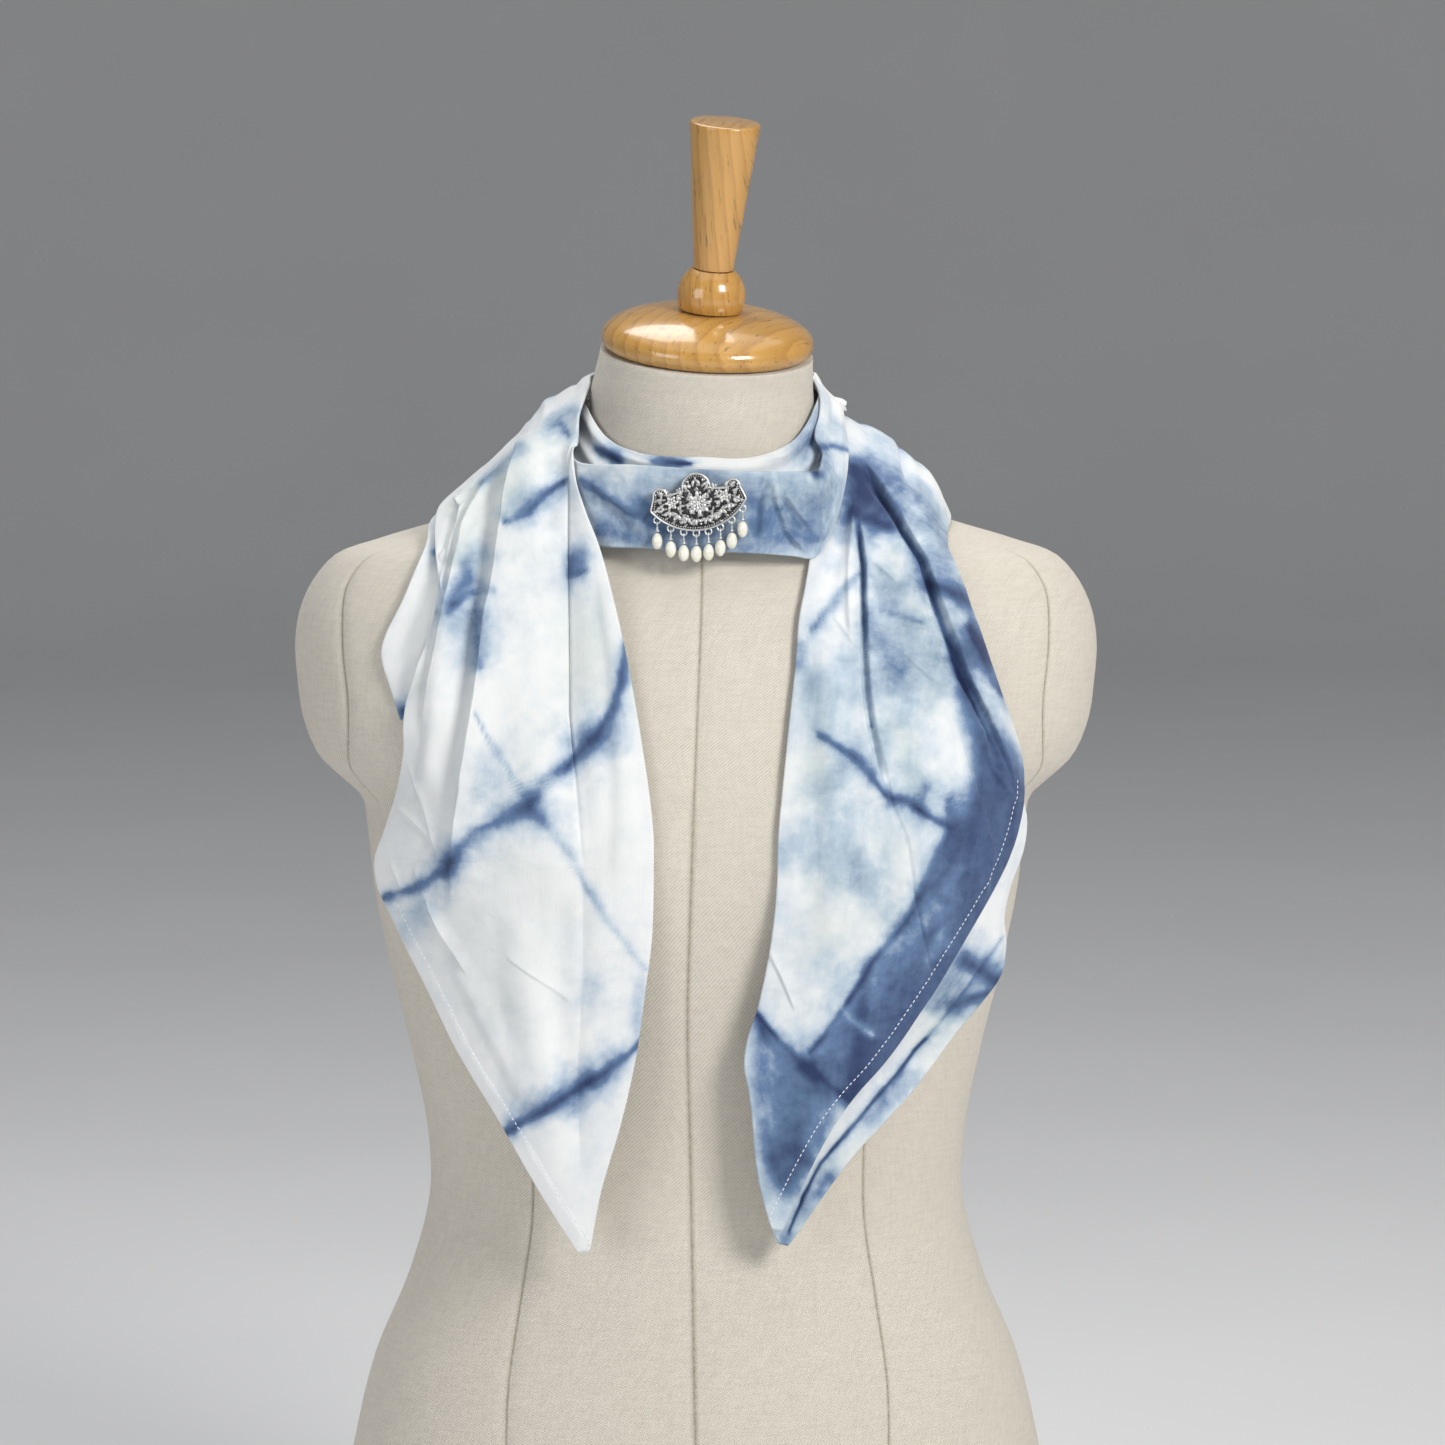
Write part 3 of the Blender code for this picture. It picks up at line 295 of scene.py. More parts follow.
FRONT_BAND_CREASES = (
    ("top edge", (0, 0, 0, 0, 0, 0, 0), (0, 0, 0, 0, 0, 0, 0), 0),
    ("upper crest", (.25, .25, .22, .25, .28, .25, .25), (0, .6, .4, 1.0, 1.0, 1.0, 0), 2),
    ("middle trough", (.5, .5, .5, .5, .5, .5, .5), (0, 0, 0, -.8, 0, -.6, 0), 1),
    ("lower crest", (.75, .75, .78, .78, .75, .75, .75), (0, .4, .2, .8, 1.0, 1.0, 0), 1),
    ("bottom edge", (1, 1, 1, 1, 1, 1, 1), (0, 0, 0, 0, 0, 0, 0), 2),
)
LOBE_KEYS = ("top", "collar", "widest", "foot")
LOBE_CREASES = (
    ("inner edge", (0, 0, 0, 0), (0, 0, 0, 0), 0),
    ("crest", (.4, .4, .4, .4), (1, 2, 2, 1), 2),
    ("trough", (.7, .7, .7, .7), (-1, -2, -2, 0), 1),
    ("outer edge", (1, 1, 1, 1), (0, 0, 1, 0), 1),
)
UNDER_KEYS = ("top", "hem", "low", "tip")
UNDER_CREASES = (
    ("inner edge", (0, 0, 0, 0), (0, 0, 0, 0), 0),
    ("crest", (.45, .45, .5, .5), (0, 1, 1, 0), 2),
    ("trough", (.72, .72, .75, .7), (0, -1, -1, 0), 2),
    ("outer edge", (1, 1, 1, 1), (0, 0, 0, 0), 2),
)

# Brooch: a fan plate on a pin bar, with eight rings along its lower arc.
BROOCH_X = 1.6 * MM
BROOCH_Z = 577 * MM
BROOCH_TILT = math.radians(8)
PLATE_HALF_WIDTH = 23.5 * MM
PLATE_ARC_DROP = 12.5 * MM
PLATE_THICKNESS = 1.8 * MM
ARC_RADIUS = (PLATE_HALF_WIDTH ** 2 + PLATE_ARC_DROP ** 2) / (2 * PLATE_ARC_DROP)
PLATE_TOP = ((17.5, 6.5, 3.6), (0, 8.2, 7.0), (-17.5, 6.5, 3.6))
ROSETTES = ((0, 0.5, 6.5), (-12.5, 2.5, 3.6), (12.5, 2.5, 3.6))
PIN_LENGTH = 30 * MM
PIN_HEIGHT = 2.4 * MM
PIN_DEPTH = 2.8 * MM
RING_RADIUS = 1.5 * MM
RING_WIRE = 0.4 * MM
RING_BELOW_EDGE = 1.05 * MM
EYE_RADIUS = 1.12 * MM
EYE_WIRE = 0.34 * MM
DROP_COUNT = 8
DROP_PITCH = 5.85 * MM
DROP_STEM = 2.0 * MM
DROP_STEM_HALF = 0.27 * MM
CUP_FLARE = 0.1 * MM
CUP_RADIUS = 1.1 * MM
CUP_HEIGHT = 0.7 * MM
COIL_RADIUS = 0.42 * MM
COIL_WIRE = 0.18 * MM
COIL_HEIGHT = 1.3 * MM
COIL_TURNS = 3
COIL_STEPS = 30
RELIEF_DEPTH = 1.1 * MM
RING_SHINE = 0.75
WIRE_SHINE = 0.7
PEARL_RADIUS = 2.65 * MM
PEARL_HALF_HEIGHT = 4.0 * MM

# Fine mesh of the form: steps from seam to seam and rings, then how a seam is drawn in.
FINE_FORM_SIDES = 10
FINE_FORM_RINGS = 130
NECK_STEPS = 6
SEAM_OFFSETS = (-1.7, -0.7, 0.0, 0.7, 1.7)
SEAM_HALF = 1.5
SEAM_ROUND = 16.0

# Visual cloth: two layers of cotton with air between them, rolled at its folded edges.
ROLL_STEPS = 5
ROLL_TURN = math.radians(120)
ROLL_SHARE = 0.12
CLOTH_GAP = 0.35 * MM
LIFT_REACH = 10 * MM
EDGE_REACH = 4
EDGE_ROOM = 1.5
FOLD_ENDS = 0.14
START_REACH = 34.0
START_ROLL = 2.2
NARROW_REACH = 64.0
START_NARROW = 0.40

# How the fine surface is made: columns close together to read from, and closer still beside
# folds that are pressed; every CALM_STEP of them is evened out; LOOP_ROWS close a loop.
DENSE_ACROSS = 12
LOOP_ROWS = 3
CALM_STEP = 4
PRESSED = 0.5
CROWD_SHARE = 2.6
CROWD_REACH = 2.4
EVEN_PASSES = 14
UV_SCALE = 0.01
TINY = 1e-12
CLOUD_CELLS = 97

# Light crumple: height in millimetres, share along, size and seed.
CRUMPLES = ((0.28, 0.45, 9, 21), (0.12, 0.6, 4, 22))
CRUMPLE_EDGE = 6

# Marks of dye and of painted shade: share of a mark's core and reach of its bleed; a line is
# LINE_SHARE widths long or more.
MARK_CORE = 0.72
MARK_BLEED = 2.5
LINE_SHARE = 5
LINE_ENDS = 0.2

# Hem, in millimetres: its rise, its stitched groove, and the stitches in the groove.
HEM_RISE = 0.45
HEM_GROOVE = 0.3
GROOVE_HALF = 0.9
HEM_ENDS = 0.02
STITCH_INSET = 1.2
STITCH_SIZE = (0.28 * MM, 0.22 * MM)
STITCH_LIFT = 0.08 * MM

# Fine folds on the front. Columns: name, height and reach to its left and right in
# millimetres, crisp from 0 for a soft fold to 1 for a pressed line, and path from top to
# bottom in view points.
LEFT_FOLDS = (
    ("strip crease", -3.4, 20, 12, 0.8, ((580, 405), (565, 470), (567, 600), (568, 713), (578,
     812), (583, 870))),
    ("low strip crease", -1.9, 18, 11, 0.8, ((568, 713), (578, 812), (583, 870), (582, 971), (577,
     1077), (581, 1190))),
    ("strip gap", -1.8, 1.6, 1.4, 1, ((578, 412), (566, 470), (568, 600), (569, 713), (576, 790))),
    ("facet ridge", 4.8, 1.8, 24, 1, ((574, 400), (552, 417), (534, 431), (521, 450), (508, 495),
     (497, 571), (486, 619), (479, 674), (472, 722), (465, 770), (458, 822), (452, 870), (450,
     910))),
    ("facet hollow", -5.0, 9, 3, 0, ((520, 436), (500, 500), (488, 571), (477, 625), (470, 680),
     (463, 730), (455, 780), (449, 830))),
    ("third ridge", 3.4, 2.0, 14, 0.9, ((528, 430), (508, 448), (493, 474), (467, 522), (456, 562),
     (444, 617), (430, 680), (421, 740))),
    ("third hollow", -2.6, 8, 2.5, 0, ((516, 438), (488, 476), (459, 525), (448, 571), (436, 617),
     (421, 680))),
    ("outer lap", 1.8, 2, 7, 0.8, ((490, 464), (462, 508), (451, 543), (441, 581), (445, 614))),
    ("neck hollow", -1.6, 10, 10, 0, ((572, 410), (553, 455), (546, 500), (540, 540))),
    ("outer swell", 2.4, 7, 7, 0, ((452, 590), (444, 660), (432, 740), (424, 800))),
    ("outer crease", -1.5, 3, 6, 0.4, ((523, 448), (505, 470), (483, 508), (462, 530))),
    ("strip waver", 1.6, 6, 10, 0, ((600, 560), (612, 640), (620, 730), (622, 820), (617, 900))),
    ("hem pull one", 1.3, 1.6, 7, 0.9, ((424, 900), (440, 933), (468, 974))),
    ("hem pull two", 1.2, 1.6, 5, 0.9, ((406, 758), (425, 812), (436, 850), (443, 870))),
    ("hem pull three", 1.0, 1.6, 4, 0.9, ((396, 806), (423, 831), (438, 846))),
    ("hem pull four", 1.0, 1.5, 5, 0.9, ((412, 864), (423, 894), (446, 942))),
    ("hem pull five", 0.8, 1.5, 3, 0.9, ((390, 862), (402, 892))),
    ("faint line", 0.7, 1.6, 6, 0.8, ((504, 954), (540, 980), (574, 1005))),
    ("low swell", 2.2, 14, 12, 0, ((520, 900), (522, 980), (538, 1060), (556, 1130))),
    ("low hollow", -1.6, 8, 9, 0, ((560, 890), (558, 980), (562, 1060), (568, 1120))),
    ("hem sag", 1.2, 6, 10, 0.2, ((452, 960), (490, 1030), (530, 1110))),
    ("flap edge", 2.4, 1.4, 11, 1, ((452, 494), (461, 510), (456, 529), (447, 547), (437, 562))),
)
RIGHT_FOLDS = (
    ("first gap", -3.4, 2.6, 2.6, 0.2, ((853, 506), (859, 540), (862, 563), (863, 604), (864, 645),
     (866, 690), (871, 727), (880, 770), (888, 800))),
    ("first panel", 2.8, 15, 1.3, 1, ((848, 504), (855, 535), (859, 563), (860, 604), (860, 645),
     (861, 690), (866, 727), (875, 770), (883, 802))),
    ("first lap", 1.6, 1.3, 12, 1, ((857, 506), (863, 540), (866, 563), (867, 604), (868, 645),
     (871, 690), (877, 727), (887, 770), (895, 805))),
    ("second gap", -3.8, 3, 3, 0.2, ((860, 466), (883, 502), (901, 534), (920, 563), (936, 612),
     (948, 643), (957, 674), (977, 714), (1001, 770))),
    ("second panel", 3.8, 28, 1.3, 0.6, ((862, 480), (879, 503), (897, 535), (915, 564), (929,
     612), (941, 643), (950, 674), (969, 714), (992, 766))),
    ("second lap", 4.8, 1.3, 20, 1, ((852, 454), (868, 468), (888, 501), (906, 532), (925, 563),
     (943, 612), (955, 643), (964, 674), (986, 716), (1009, 774), (1016, 800))),
    ("lit ridge", 3.0, 20, 3, 0.8, ((897, 545), (920, 612), (937, 665), (962, 704), (984, 752))),
    ("throat hollow", -2.4, 4, 6, 0, ((848, 508), (840, 545), (828, 582))),
    ("throat ridge", 1.8, 2, 6, 0.7, ((855, 500), (849, 545), (847, 580), (849, 640))),
    ("inner swell", 2.2, 10, 10, 0, ((822, 620), (830, 700), (834, 790), (832, 880), (828, 960))),
    ("long ridge", 2.8, 16, 2.5, 0.9, ((878, 753), (889, 803), (904, 842), (914, 905), (922, 945),
     (932, 986))),
    ("long gap", -1.8, 1.8, 2.2, 0.3, ((883, 775), (891, 803), (906, 842), (916, 905), (924, 945),
     (933, 983))),
    ("navy facet", 2.2, 12, 2, 0.8, ((938, 697), (956, 740), (968, 770), (982, 815), (992, 850),
     (984, 900))),
    ("hem facet", 2.0, 2, 10, 0.8, ((972, 724), (990, 765), (1006, 790), (1018, 806))),
    ("centre hollow", -1.8, 10, 10, 0, ((850, 830), (856, 900), (848, 980), (835, 1060))),
    ("hook crease", 1.3, 1.6, 6, 0.9, ((768, 950), (781, 976), (796, 1012))),
    ("pull one", 0.9, 1.6, 5, 0.8, ((862, 558), (882, 570), (898, 588))),
    ("pull two", 0.9, 1.6, 5, 0.8, ((902, 652), (925, 676), (948, 692))),
    ("pull three", 0.8, 1.6, 4, 0.8, ((832, 614), (842, 628), (852, 643))),
    ("shoulder swell", 1.8, 12, 8, 0, ((868, 432), (900, 462), (926, 510), (946, 560), (964,
     615))),
    ("shoulder hollow", -1.5, 6, 7, 0, ((880, 440), (910, 470), (934, 516), (951, 566))),
    ("outer fold", 2.0, 5, 3, 0.5, ((945, 640), (968, 690), (990, 738), (1012, 790))),
)
UNDER_FOLDS = (
    ("hem turn", 0.9, 6, 3, 0.4, ((1008, 870), (997, 930), (1000, 968))),
    ("hem swell", 0.9, 8, 8, 0, ((960, 960), (930, 1010), (890, 1070), (840, 1130))),
    ("hem groove", -1.5, 1.5, 1.5, 1, ((999, 941), (968, 986), (938, 1024), (914, 1050), (896,
     1075), (866, 1109), (838, 1142), (821, 1163), (804, 1194), (788, 1232))),
)
BAND_FOLDS = (
    ("first dart", -2.4, 6, 1.6, 0.3, ((769, 476), (761, 500), (757, 538))),
    ("first dart lap", 3.4, 1.5, 10, 1, ((771, 476), (776, 502), (786, 532), (804, 552))),
    ("second dart", -2.0, 5, 1.6, 0.3, ((778, 494), (790, 514), (803, 533), (812, 548))),
    ("second dart lap", 3.0, 1.5, 10, 1, ((783, 492), (797, 514), (812, 533), (818, 545))),
    ("left pull", 2.0, 1.8, 9, 0.7, ((592, 482), (612, 500), (634, 516))),
    ("left pull two", 1.8, 1.8, 7, 0.7, ((625, 541), (641, 520), (660, 500))),
    ("left pucker", -1.2, 5, 5, 0.1, ((600, 500), (618, 520), (640, 540))),
    ("centre waver", 0.6, 8, 8, 0, ((735, 480), (740, 510), (738, 545))),
)
LOBE_FOLDS = (
    ("flap turn", 1.0, 2, 5, 0.7, ((450, 500), (448, 530), (441, 556))),
)
WRAP_FOLDS = (
    ("pleat one", 0.9, 2, 2, 0.5, ((600, 424), (612, 440), (640, 455), (690, 461))),
    ("pleat two", 0.9, 2, 2, 0.5, ((597, 438), (612, 452), (640, 462), (690, 466))),
    ("pleat three", 0.8, 2, 2, 0.5, ((745, 463), (785, 455), (806, 436), (818, 408))),
)

# Folds and dye on the sides that the front view hides: millimetres across and along each
# stretch. Marks keep the cloth's own character there: lines that cross on the bias.
LEFT_BACK_FOLDS = (
    ("nape pleat one", 1.3, 6, 6, 0.5, ((10, 0), (12, 60), (20, 130), (26, 200), (24, 250))),
    ("nape pleat two", -1.2, 5, 5, 0.2, ((17, 30), (22, 100), (34, 170), (38, 230))),
    ("back pleat one", 1.4, 8, 5, 0.6, ((26, 30), (38, 80), (48, 125), (50, 160))),
    ("back pleat two", -1.2, 6, 6, 0.2, ((34, 40), (48, 90), (58, 130), (60, 160))),
    ("back pleat three", 1.1, 7, 5, 0.5, ((40, 60), (60, 105), (72, 145))),
)
RIGHT_BACK_FOLDS = (
    ("nape pleat one", 1.4, 5, 6, 0.5, ((9, 0), (12, 60), (20, 110), (22, 170))),
    ("nape pleat two", -1.2, 5, 5, 0.2, ((18, 20), (26, 90), (32, 140), (30, 180))),
    ("back pleat one", 1.7, 8, 5, 0.6, ((26, 70), (42, 125), (44, 170), (42, 210))),
    ("back pleat two", -1.4, 6, 6, 0.2, ((36, 90), (52, 135), (52, 180))),
    ("back pleat three", 1.2, 6, 5, 0.5, ((44, 100), (60, 140), (62, 180))),
)

# Dye, rinse tint and painted shade: strength from 0 to 1, half width and path, in view points
# on the front. Some dye marks are partly painted shade, and the rinse marks are mostly painted
# shade.
LEFT_DYE = (
    (0.78, 4.5, ((506, 522), (528, 512), (545, 496), (564, 482))),
    (0.30, 13, ((530, 508), (558, 488))),
    (0.55, 9, ((552, 420), (568, 408))),
    (0.65, 4, ((561, 424), (567, 436))),
    (0.42, 6, ((519, 443), (502, 460), (482, 481))),
    (0.50, 8, ((467, 579), (455, 596), (450, 612))),
    (0.52, 5, ((452, 606), (470, 594), (492, 590))),
    (0.45, 5, ((475, 600), (478, 635), (479, 667))),
    (0.20, 20, ((463, 619), (470, 640))),
    (0.30, 7, ((482, 552), (467, 566))),
    (0.45, 10, ((577, 556), (578, 572))),
    (0.55, 5, ((571, 560), (572, 576), (588, 572))),
    (0.80, 6, ((626, 640), (622, 680), (612, 708), (601, 732), (580, 753), (568, 764))),
    (0.35, 16, ((600, 728), (574, 744))),
    (0.75, 6, ((567, 766), (546, 778), (529, 804), (508, 818), (474, 832), (456, 852), (446, 870),
     (415, 887), (384, 897))),
    (0.45, 8, ((446, 862), (446, 876))),
    (0.32, 3.2, ((475, 714), (502, 762), (530, 804), (542, 824), (570, 856), (584, 887), (620,
     938), (645, 968))),
    (0.42, 10, ((522, 808), (540, 818))),
    (0.12, 14, ((490, 774), (480, 790))),
    (0.80, 7, ((500, 1138), (525, 1121), (561, 1101), (578, 1089), (605, 1072), (640, 1044))),
    (0.30, 12, ((575, 1105), (592, 1090))),
    (0.20, 9, ((638, 985), (636, 1030))),
    (0.13, 14, ((594, 985), (590, 1000))),
    (0.16, 12, ((424, 905), (404, 930))),
)
# Rinse marks on the left fall: a faint grey-green tint, and mostly painted shade on faces turned
# from the light, chiefly the upper pleats and the strip beside its crease.
LEFT_RINSE_AND_SHADE = (
    (0.55, 26, ((575, 610), (584, 660))),
    (0.80, 26, ((560, 408), (530, 440), (512, 490))),
    (0.75, 22, ((500, 450), (470, 500), (452, 560))),
    (0.60, 18, ((590, 640), (596, 690))),
    (0.50, 14, ((437, 625), (424, 665), (410, 700))),
    (0.40, 22, ((536, 730), (530, 780))),
    (0.40, 24, ((545, 895), (520, 870))),
    (0.35, 22, ((552, 930), (520, 990))),
    (0.45, 20, ((500, 460), (470, 500))),
    (0.35, 18, ((625, 780), (615, 860))),
    (0.30, 22, ((480, 920), (500, 1010))),
)
LOBE_DYE = (
    (0.60, 5, ((436, 552), (444, 557))),
    (0.92, 7, ((404, 712), (414, 722))),
    (0.18, 9, ((440, 520), (444, 540))),
)
# Painted shade on the lobe's outer panel.
LOBE_RINSE_AND_SHADE = ((0.5, 14, ((440, 510), (420, 640))),)
RIGHT_DYE_AND_SHADE = (
    (0.60, 3, ((842, 418), (850, 411), (860, 409))),
    # The next five marks are partly dye and partly painted shade: the deep pocket under the
    # shoulder fold, its tail, and the dark lines down the two gaps between the panels.
    (0.97, 14, ((855, 466), (862, 482), (869, 498))),
    (0.60, 12, ((858, 500), (874, 510))),
    (0.92, 2.8, ((864, 472), (884, 502), (902, 534), (920, 563), (936, 612), (948, 643), (958,
     674), (978, 716))),
    (0.60, 2.6, ((852, 500), (859, 540), (863, 563), (864, 604), (864, 645), (867, 690), (872,
     727))),
    (0.85, 8, ((851, 514), (868, 519), (888, 526))),
    (0.25, 15, ((853, 425), (868, 440))),
    (0.28, 13, ((890, 475), (906, 510))),
    (0.34, 15, ((920, 462), (936, 520), (944, 542))),
    (0.45, 6, ((924, 480), (932, 486))),
    (0.25, 14, ((880, 440), (905, 460))),
    (0.85, 9, ((930, 584), (948, 590), (966, 601))),
    (0.35, 14, ((925, 560), (945, 570))),
    (0.45, 4.4, ((858, 575), (846, 585), (828, 607), (813, 630))),
    (0.38, 7, ((802, 648), (801, 664))),
    (0.24, 20, ((885, 590), (905, 650), (890, 690))),
    (0.14, 22, ((905, 690), (925, 745))),
    (0.13, 26, ((850, 760), (830, 840), (870, 900))),
    (0.35, 4.5, ((880, 612), (900, 617), (920, 621))),
    (0.22, 13, ((880, 640), (895, 665))),
    (0.90, 9, ((970, 628), (984, 655), (1000, 690))),
    (0.60, 9, ((960, 655), (966, 690))),
    (0.80, 4.5, ((819, 735), (839, 747), (859, 763), (878, 785), (890, 798), (908, 804), (926,
     815), (950, 828))),
    (0.45, 6, ((888, 796), (892, 800))),
    (0.40, 6, ((926, 786), (918, 806))),
    (0.80, 7, ((950, 800), (950, 834), (930, 873), (914, 911), (898, 931), (870, 967), (848,
     1001))),
    (0.45, 5, ((848, 1001), (832, 1024), (811, 1051))),
    (0.80, 7, ((757, 1017), (768, 1043), (792, 1058), (807, 1067), (820, 1080), (850, 1101))),
    (0.60, 8, ((806, 1070), (816, 1076))),
    (0.98, 2.6, ((914, 911), (898, 931), (870, 967), (848, 1001), (832, 1024), (811, 1053))),
    (0.98, 3, ((757, 1015), (780, 1043), (807, 1067), (830, 1086), (851, 1102))),
    (0.40, 22, ((800, 1110), (790, 1140))),
    (0.55, 9, ((786, 1148), (812, 1164))),
    (0.45, 9, ((772, 1158), (778, 1172))),
    (0.40, 10, ((786, 1178), (794, 1190))),
    (0.20, 12, ((790, 1060), (796, 1080))),
    (0.16, 22, ((800, 850), (870, 880))),
    (0.12, 24, ((820, 690), (840, 760))),
)
RIGHT_DYE_AND_SHADE_AREAS = (
    # The first area is navy dye, and partly painted shade where its top takes in the dark valley
    # beside the second gap.
    (0.80, 12, ((957, 664), (985, 700), (1035, 790), (1035, 870), (990, 930), (940, 1020), (890,
     1090), (852, 1112), (843, 1090), (856, 1010), (880, 968), (912, 930), (926, 890), (948, 845),
     (962, 810), (972, 775), (968, 735), (960, 700))),
    (0.62, 9, ((812, 1064), (846, 1010), (866, 985), (874, 1040), (856, 1106), (846, 1104))),
    (0.46, 10, ((756, 1022), (782, 1050), (812, 1070), (844, 1104), (824, 1142), (784, 1200), (764,
     1160), (752, 1090))),
)
RIGHT_LIGHT = (
    (0.55, 3.5, ((842, 1010), (852, 1020), (872, 1034))),
    (0.40, 9, ((764, 1110), (772, 1124))),
    (0.45, 9, ((936, 906), (926, 922))),
    (0.45, 7, ((985, 700), (992, 722))),
    (0.30, 9, ((958, 870), (948, 890))),
    (0.40, 8, ((908, 944), (886, 976), (872, 1004))),
    (0.35, 6, ((944, 930), (926, 960))),
)
# Rinse marks on the right fall: painted shade on panels that turn from the light between the
# creases, with a faint grey-green tint.
RIGHT_RINSE_AND_SHADE = (
    (0.8, 28, ((895, 560), (912, 640), (925, 700))),
    (0.8, 18, ((884, 690), (902, 740), (912, 790))),
    (0.7, 24, ((815, 690), (820, 790))),
    (0.6, 22, ((890, 850), (880, 920))),
    (0.5, 14, ((925, 470), (940, 520))),
    (0.6, 28, ((840, 860), (820, 960))),
    (0.8, 24, ((800, 1085), (795, 1180))),
)
UNDER_DYE = (
    # The first two lines darken the line of the under layer's hem groove.
    (0.45, 1.6, ((1001, 938), (968, 986), (938, 1024), (914, 1050))),
    (0.80, 2.0, ((925, 1038), (914, 1050), (896, 1075), (866, 1109), (838, 1142), (821, 1163),
     (804, 1194), (788, 1232))),
    (0.80, 10, ((966, 960), (982, 972), (998, 982))),
    (0.75, 7, ((956, 1006), (972, 998), (988, 994))),
    (0.35, 12, ((950, 975), (935, 1005))),
    (0.35, 9, ((884, 1104), (872, 1118))),
    (0.55, 8, ((828, 1178), (820, 1192))),
    (0.28, 12, ((908, 1078), (900, 1094))),
    (0.45, 8, ((786, 1238), (782, 1250))),
    (0.25, 10, ((812, 1200), (806, 1212))),
)
# Painted shade on the upper part of the under layer, beneath the fall.
UNDER_RINSE_AND_SHADE = (
    (0.8, 18, ((935, 975), (955, 1000))),
    (0.7, 16, ((940, 1020), (928, 1044))),
    (0.7, 18, ((850, 1150), (836, 1176))),
    (0.5, 14, ((800, 1222), (790, 1240))),
)
BAND_DYE_AND_SHADE = (
    (0.27, 34, ((590, 500), (630, 515), (680, 540))),
    (0.50, 4.4, ((580, 480), (604, 496), (636, 516), (662, 530))),
    (0.42, 10, ((598, 533), (622, 537), (650, 541))),
    (0.35, 8, ((640, 500), (655, 520))),
    (0.30, 22, ((745, 500), (760, 520), (790, 535))),
    (0.35, 7, ((757, 500), (755, 535))),
    (0.28, 18, ((790, 490), (825, 500), (815, 530))),
    (0.20, 20, ((700, 480), (720, 545))),
    (0.72, 4, ((818, 449), (834, 446), (849, 451))),
    # Painted shadow: a dark triangle where the band's turned-up strip meets the neck wrap.
    (0.88, 5, ((812, 466), (817, 472))),
)
BAND_WASH = (
    (0.5, 40, ((610, 500), (700, 520), (820, 500))),
    (0.8, 14, ((625, 520), (640, 535))),
    (0.6, 22, ((800, 490), (820, 520))),
    (0.5, 16, ((690, 490), (735, 530))),
)
WRAP_DYE = (
    (0.95, 5, ((598, 448), (608, 455), (620, 462))),
    (0.95, 4, ((652, 461), (670, 462), (690, 464))),
    (0.60, 8, ((822, 404), (816, 425), (808, 446))),
    (0.35, 10, ((800, 452), (812, 440))),
)
# The same on the hidden sides, in millimetres across and along.
LEFT_BACK_DYE = (
    (0.75, 3, ((0, 70), (14, 84), (30, 98), (48, 112), (76, 126))),
    (0.30, 10, ((20, 88), (40, 106))),
    (0.40, 3, ((60, 84), (46, 104), (30, 128), (18, 150))),
    (0.70, 3.5, ((2, 186), (24, 200), (50, 206), (76, 214))),
    (0.35, 9, ((40, 200), (60, 212))),
    (0.40, 7, ((10, 26), (24, 36))),
    (0.25, 14, ((60, 150), (70, 172))),
)
RIGHT_BACK_DYE = (
    (0.70, 3.5, ((0, 40), (14, 54), (30, 64), (50, 70))),
    (0.35, 11, ((14, 54), (34, 64))),
    (0.40, 3, ((50, 96), (36, 118), (22, 142), (8, 160))),
    (0.75, 4, ((0, 128), (20, 136), (44, 140), (70, 152))),
    (0.40, 12, ((44, 138), (62, 150))),
    (0.55, 7, ((24, 176), (40, 184))),
)
WRAP_BACK_DYE = (
    (0.60, 4, ((0, 40), (16, 52), (32, 60))),
    (0.70, 5, ((4, 330), (18, 338), (32, 350))),
    (0.50, 4, ((0, 400), (18, 410), (32, 424))),
)


# Stage: a round floor that sweeps up all round, in metres.
SWEEP_START = 5.2
SWEEP_BEND = 2.0
SWEEP_TOP = 5.0

# Hems: the share of each stretch's rows, from its start, where edge b is a stitched hem.
LEFT_HEM = (0.74, 1.0)
RIGHT_HEM = (0.62, 1.0)
UNDER_HEM = (0.10, 1.0)
HEM_SPANS = (("fall_left", LEFT_HEM), ("fall_right", RIGHT_HEM))

# Brooch relief: leaves in mirrored sprays, then beads in the gaps. Millimetres and degrees.
SPRAY_LEAVES = (
    (2.4, -6.6, -150, 3.6), (2.4, -6.6, -95, 3.4), (2.4, -6.6, -40, 3.8), (6.2, -5.2, -110, 3.6),
    (6.2, -5.2, -60, 3.8), (6.2, -5.2, -10, 4.0), (10.2, -3.2, -100, 3.6), (10.2, -3.2, -50, 4.0),
    (10.2, -3.2, 5, 3.6), (14.0, -1.2, -85, 3.4), (14.0, -1.2, -35, 3.8), (16.6, 1.0, -60, 3.2),
    (16.6, 1.2, -10, 3.6), (16.4, 4.2, 10, 3.4), (15.8, 6.2, 45, 3.4), (14.6, 6.8, 85, 3.0),
    (7.6, 3.4, 30, 3.4), (6.8, 5.2, 60, 3.6), (4.6, 7.4, 70, 3.6), (1.6, 8.4, 100, 3.6),
    (2.4, 8.0, 40, 3.2), (7.4, 0.6, -20, 3.2), (8.2, 6.8, 100, 2.8), (19.0, 0.2, -25, 3.0),
)
FILLER_BEADS = (
    (0, -9.2, .55), (4.6, -8.6, .5), (8.6, -7.2, .5), (12.4, -5.4, .5), (16.0, -3.0, .5),
    (19.2, -0.9, .5), (9.2, 5.4, .5), (17.6, 3.2, .5), (0, 12.6, .5), (3.4, 11.4, .5),
    (6.4, 9.2, .5), (19.6, 7.2, .5), (8.9, -0.9, .45), (0, -7.8, .45),
)

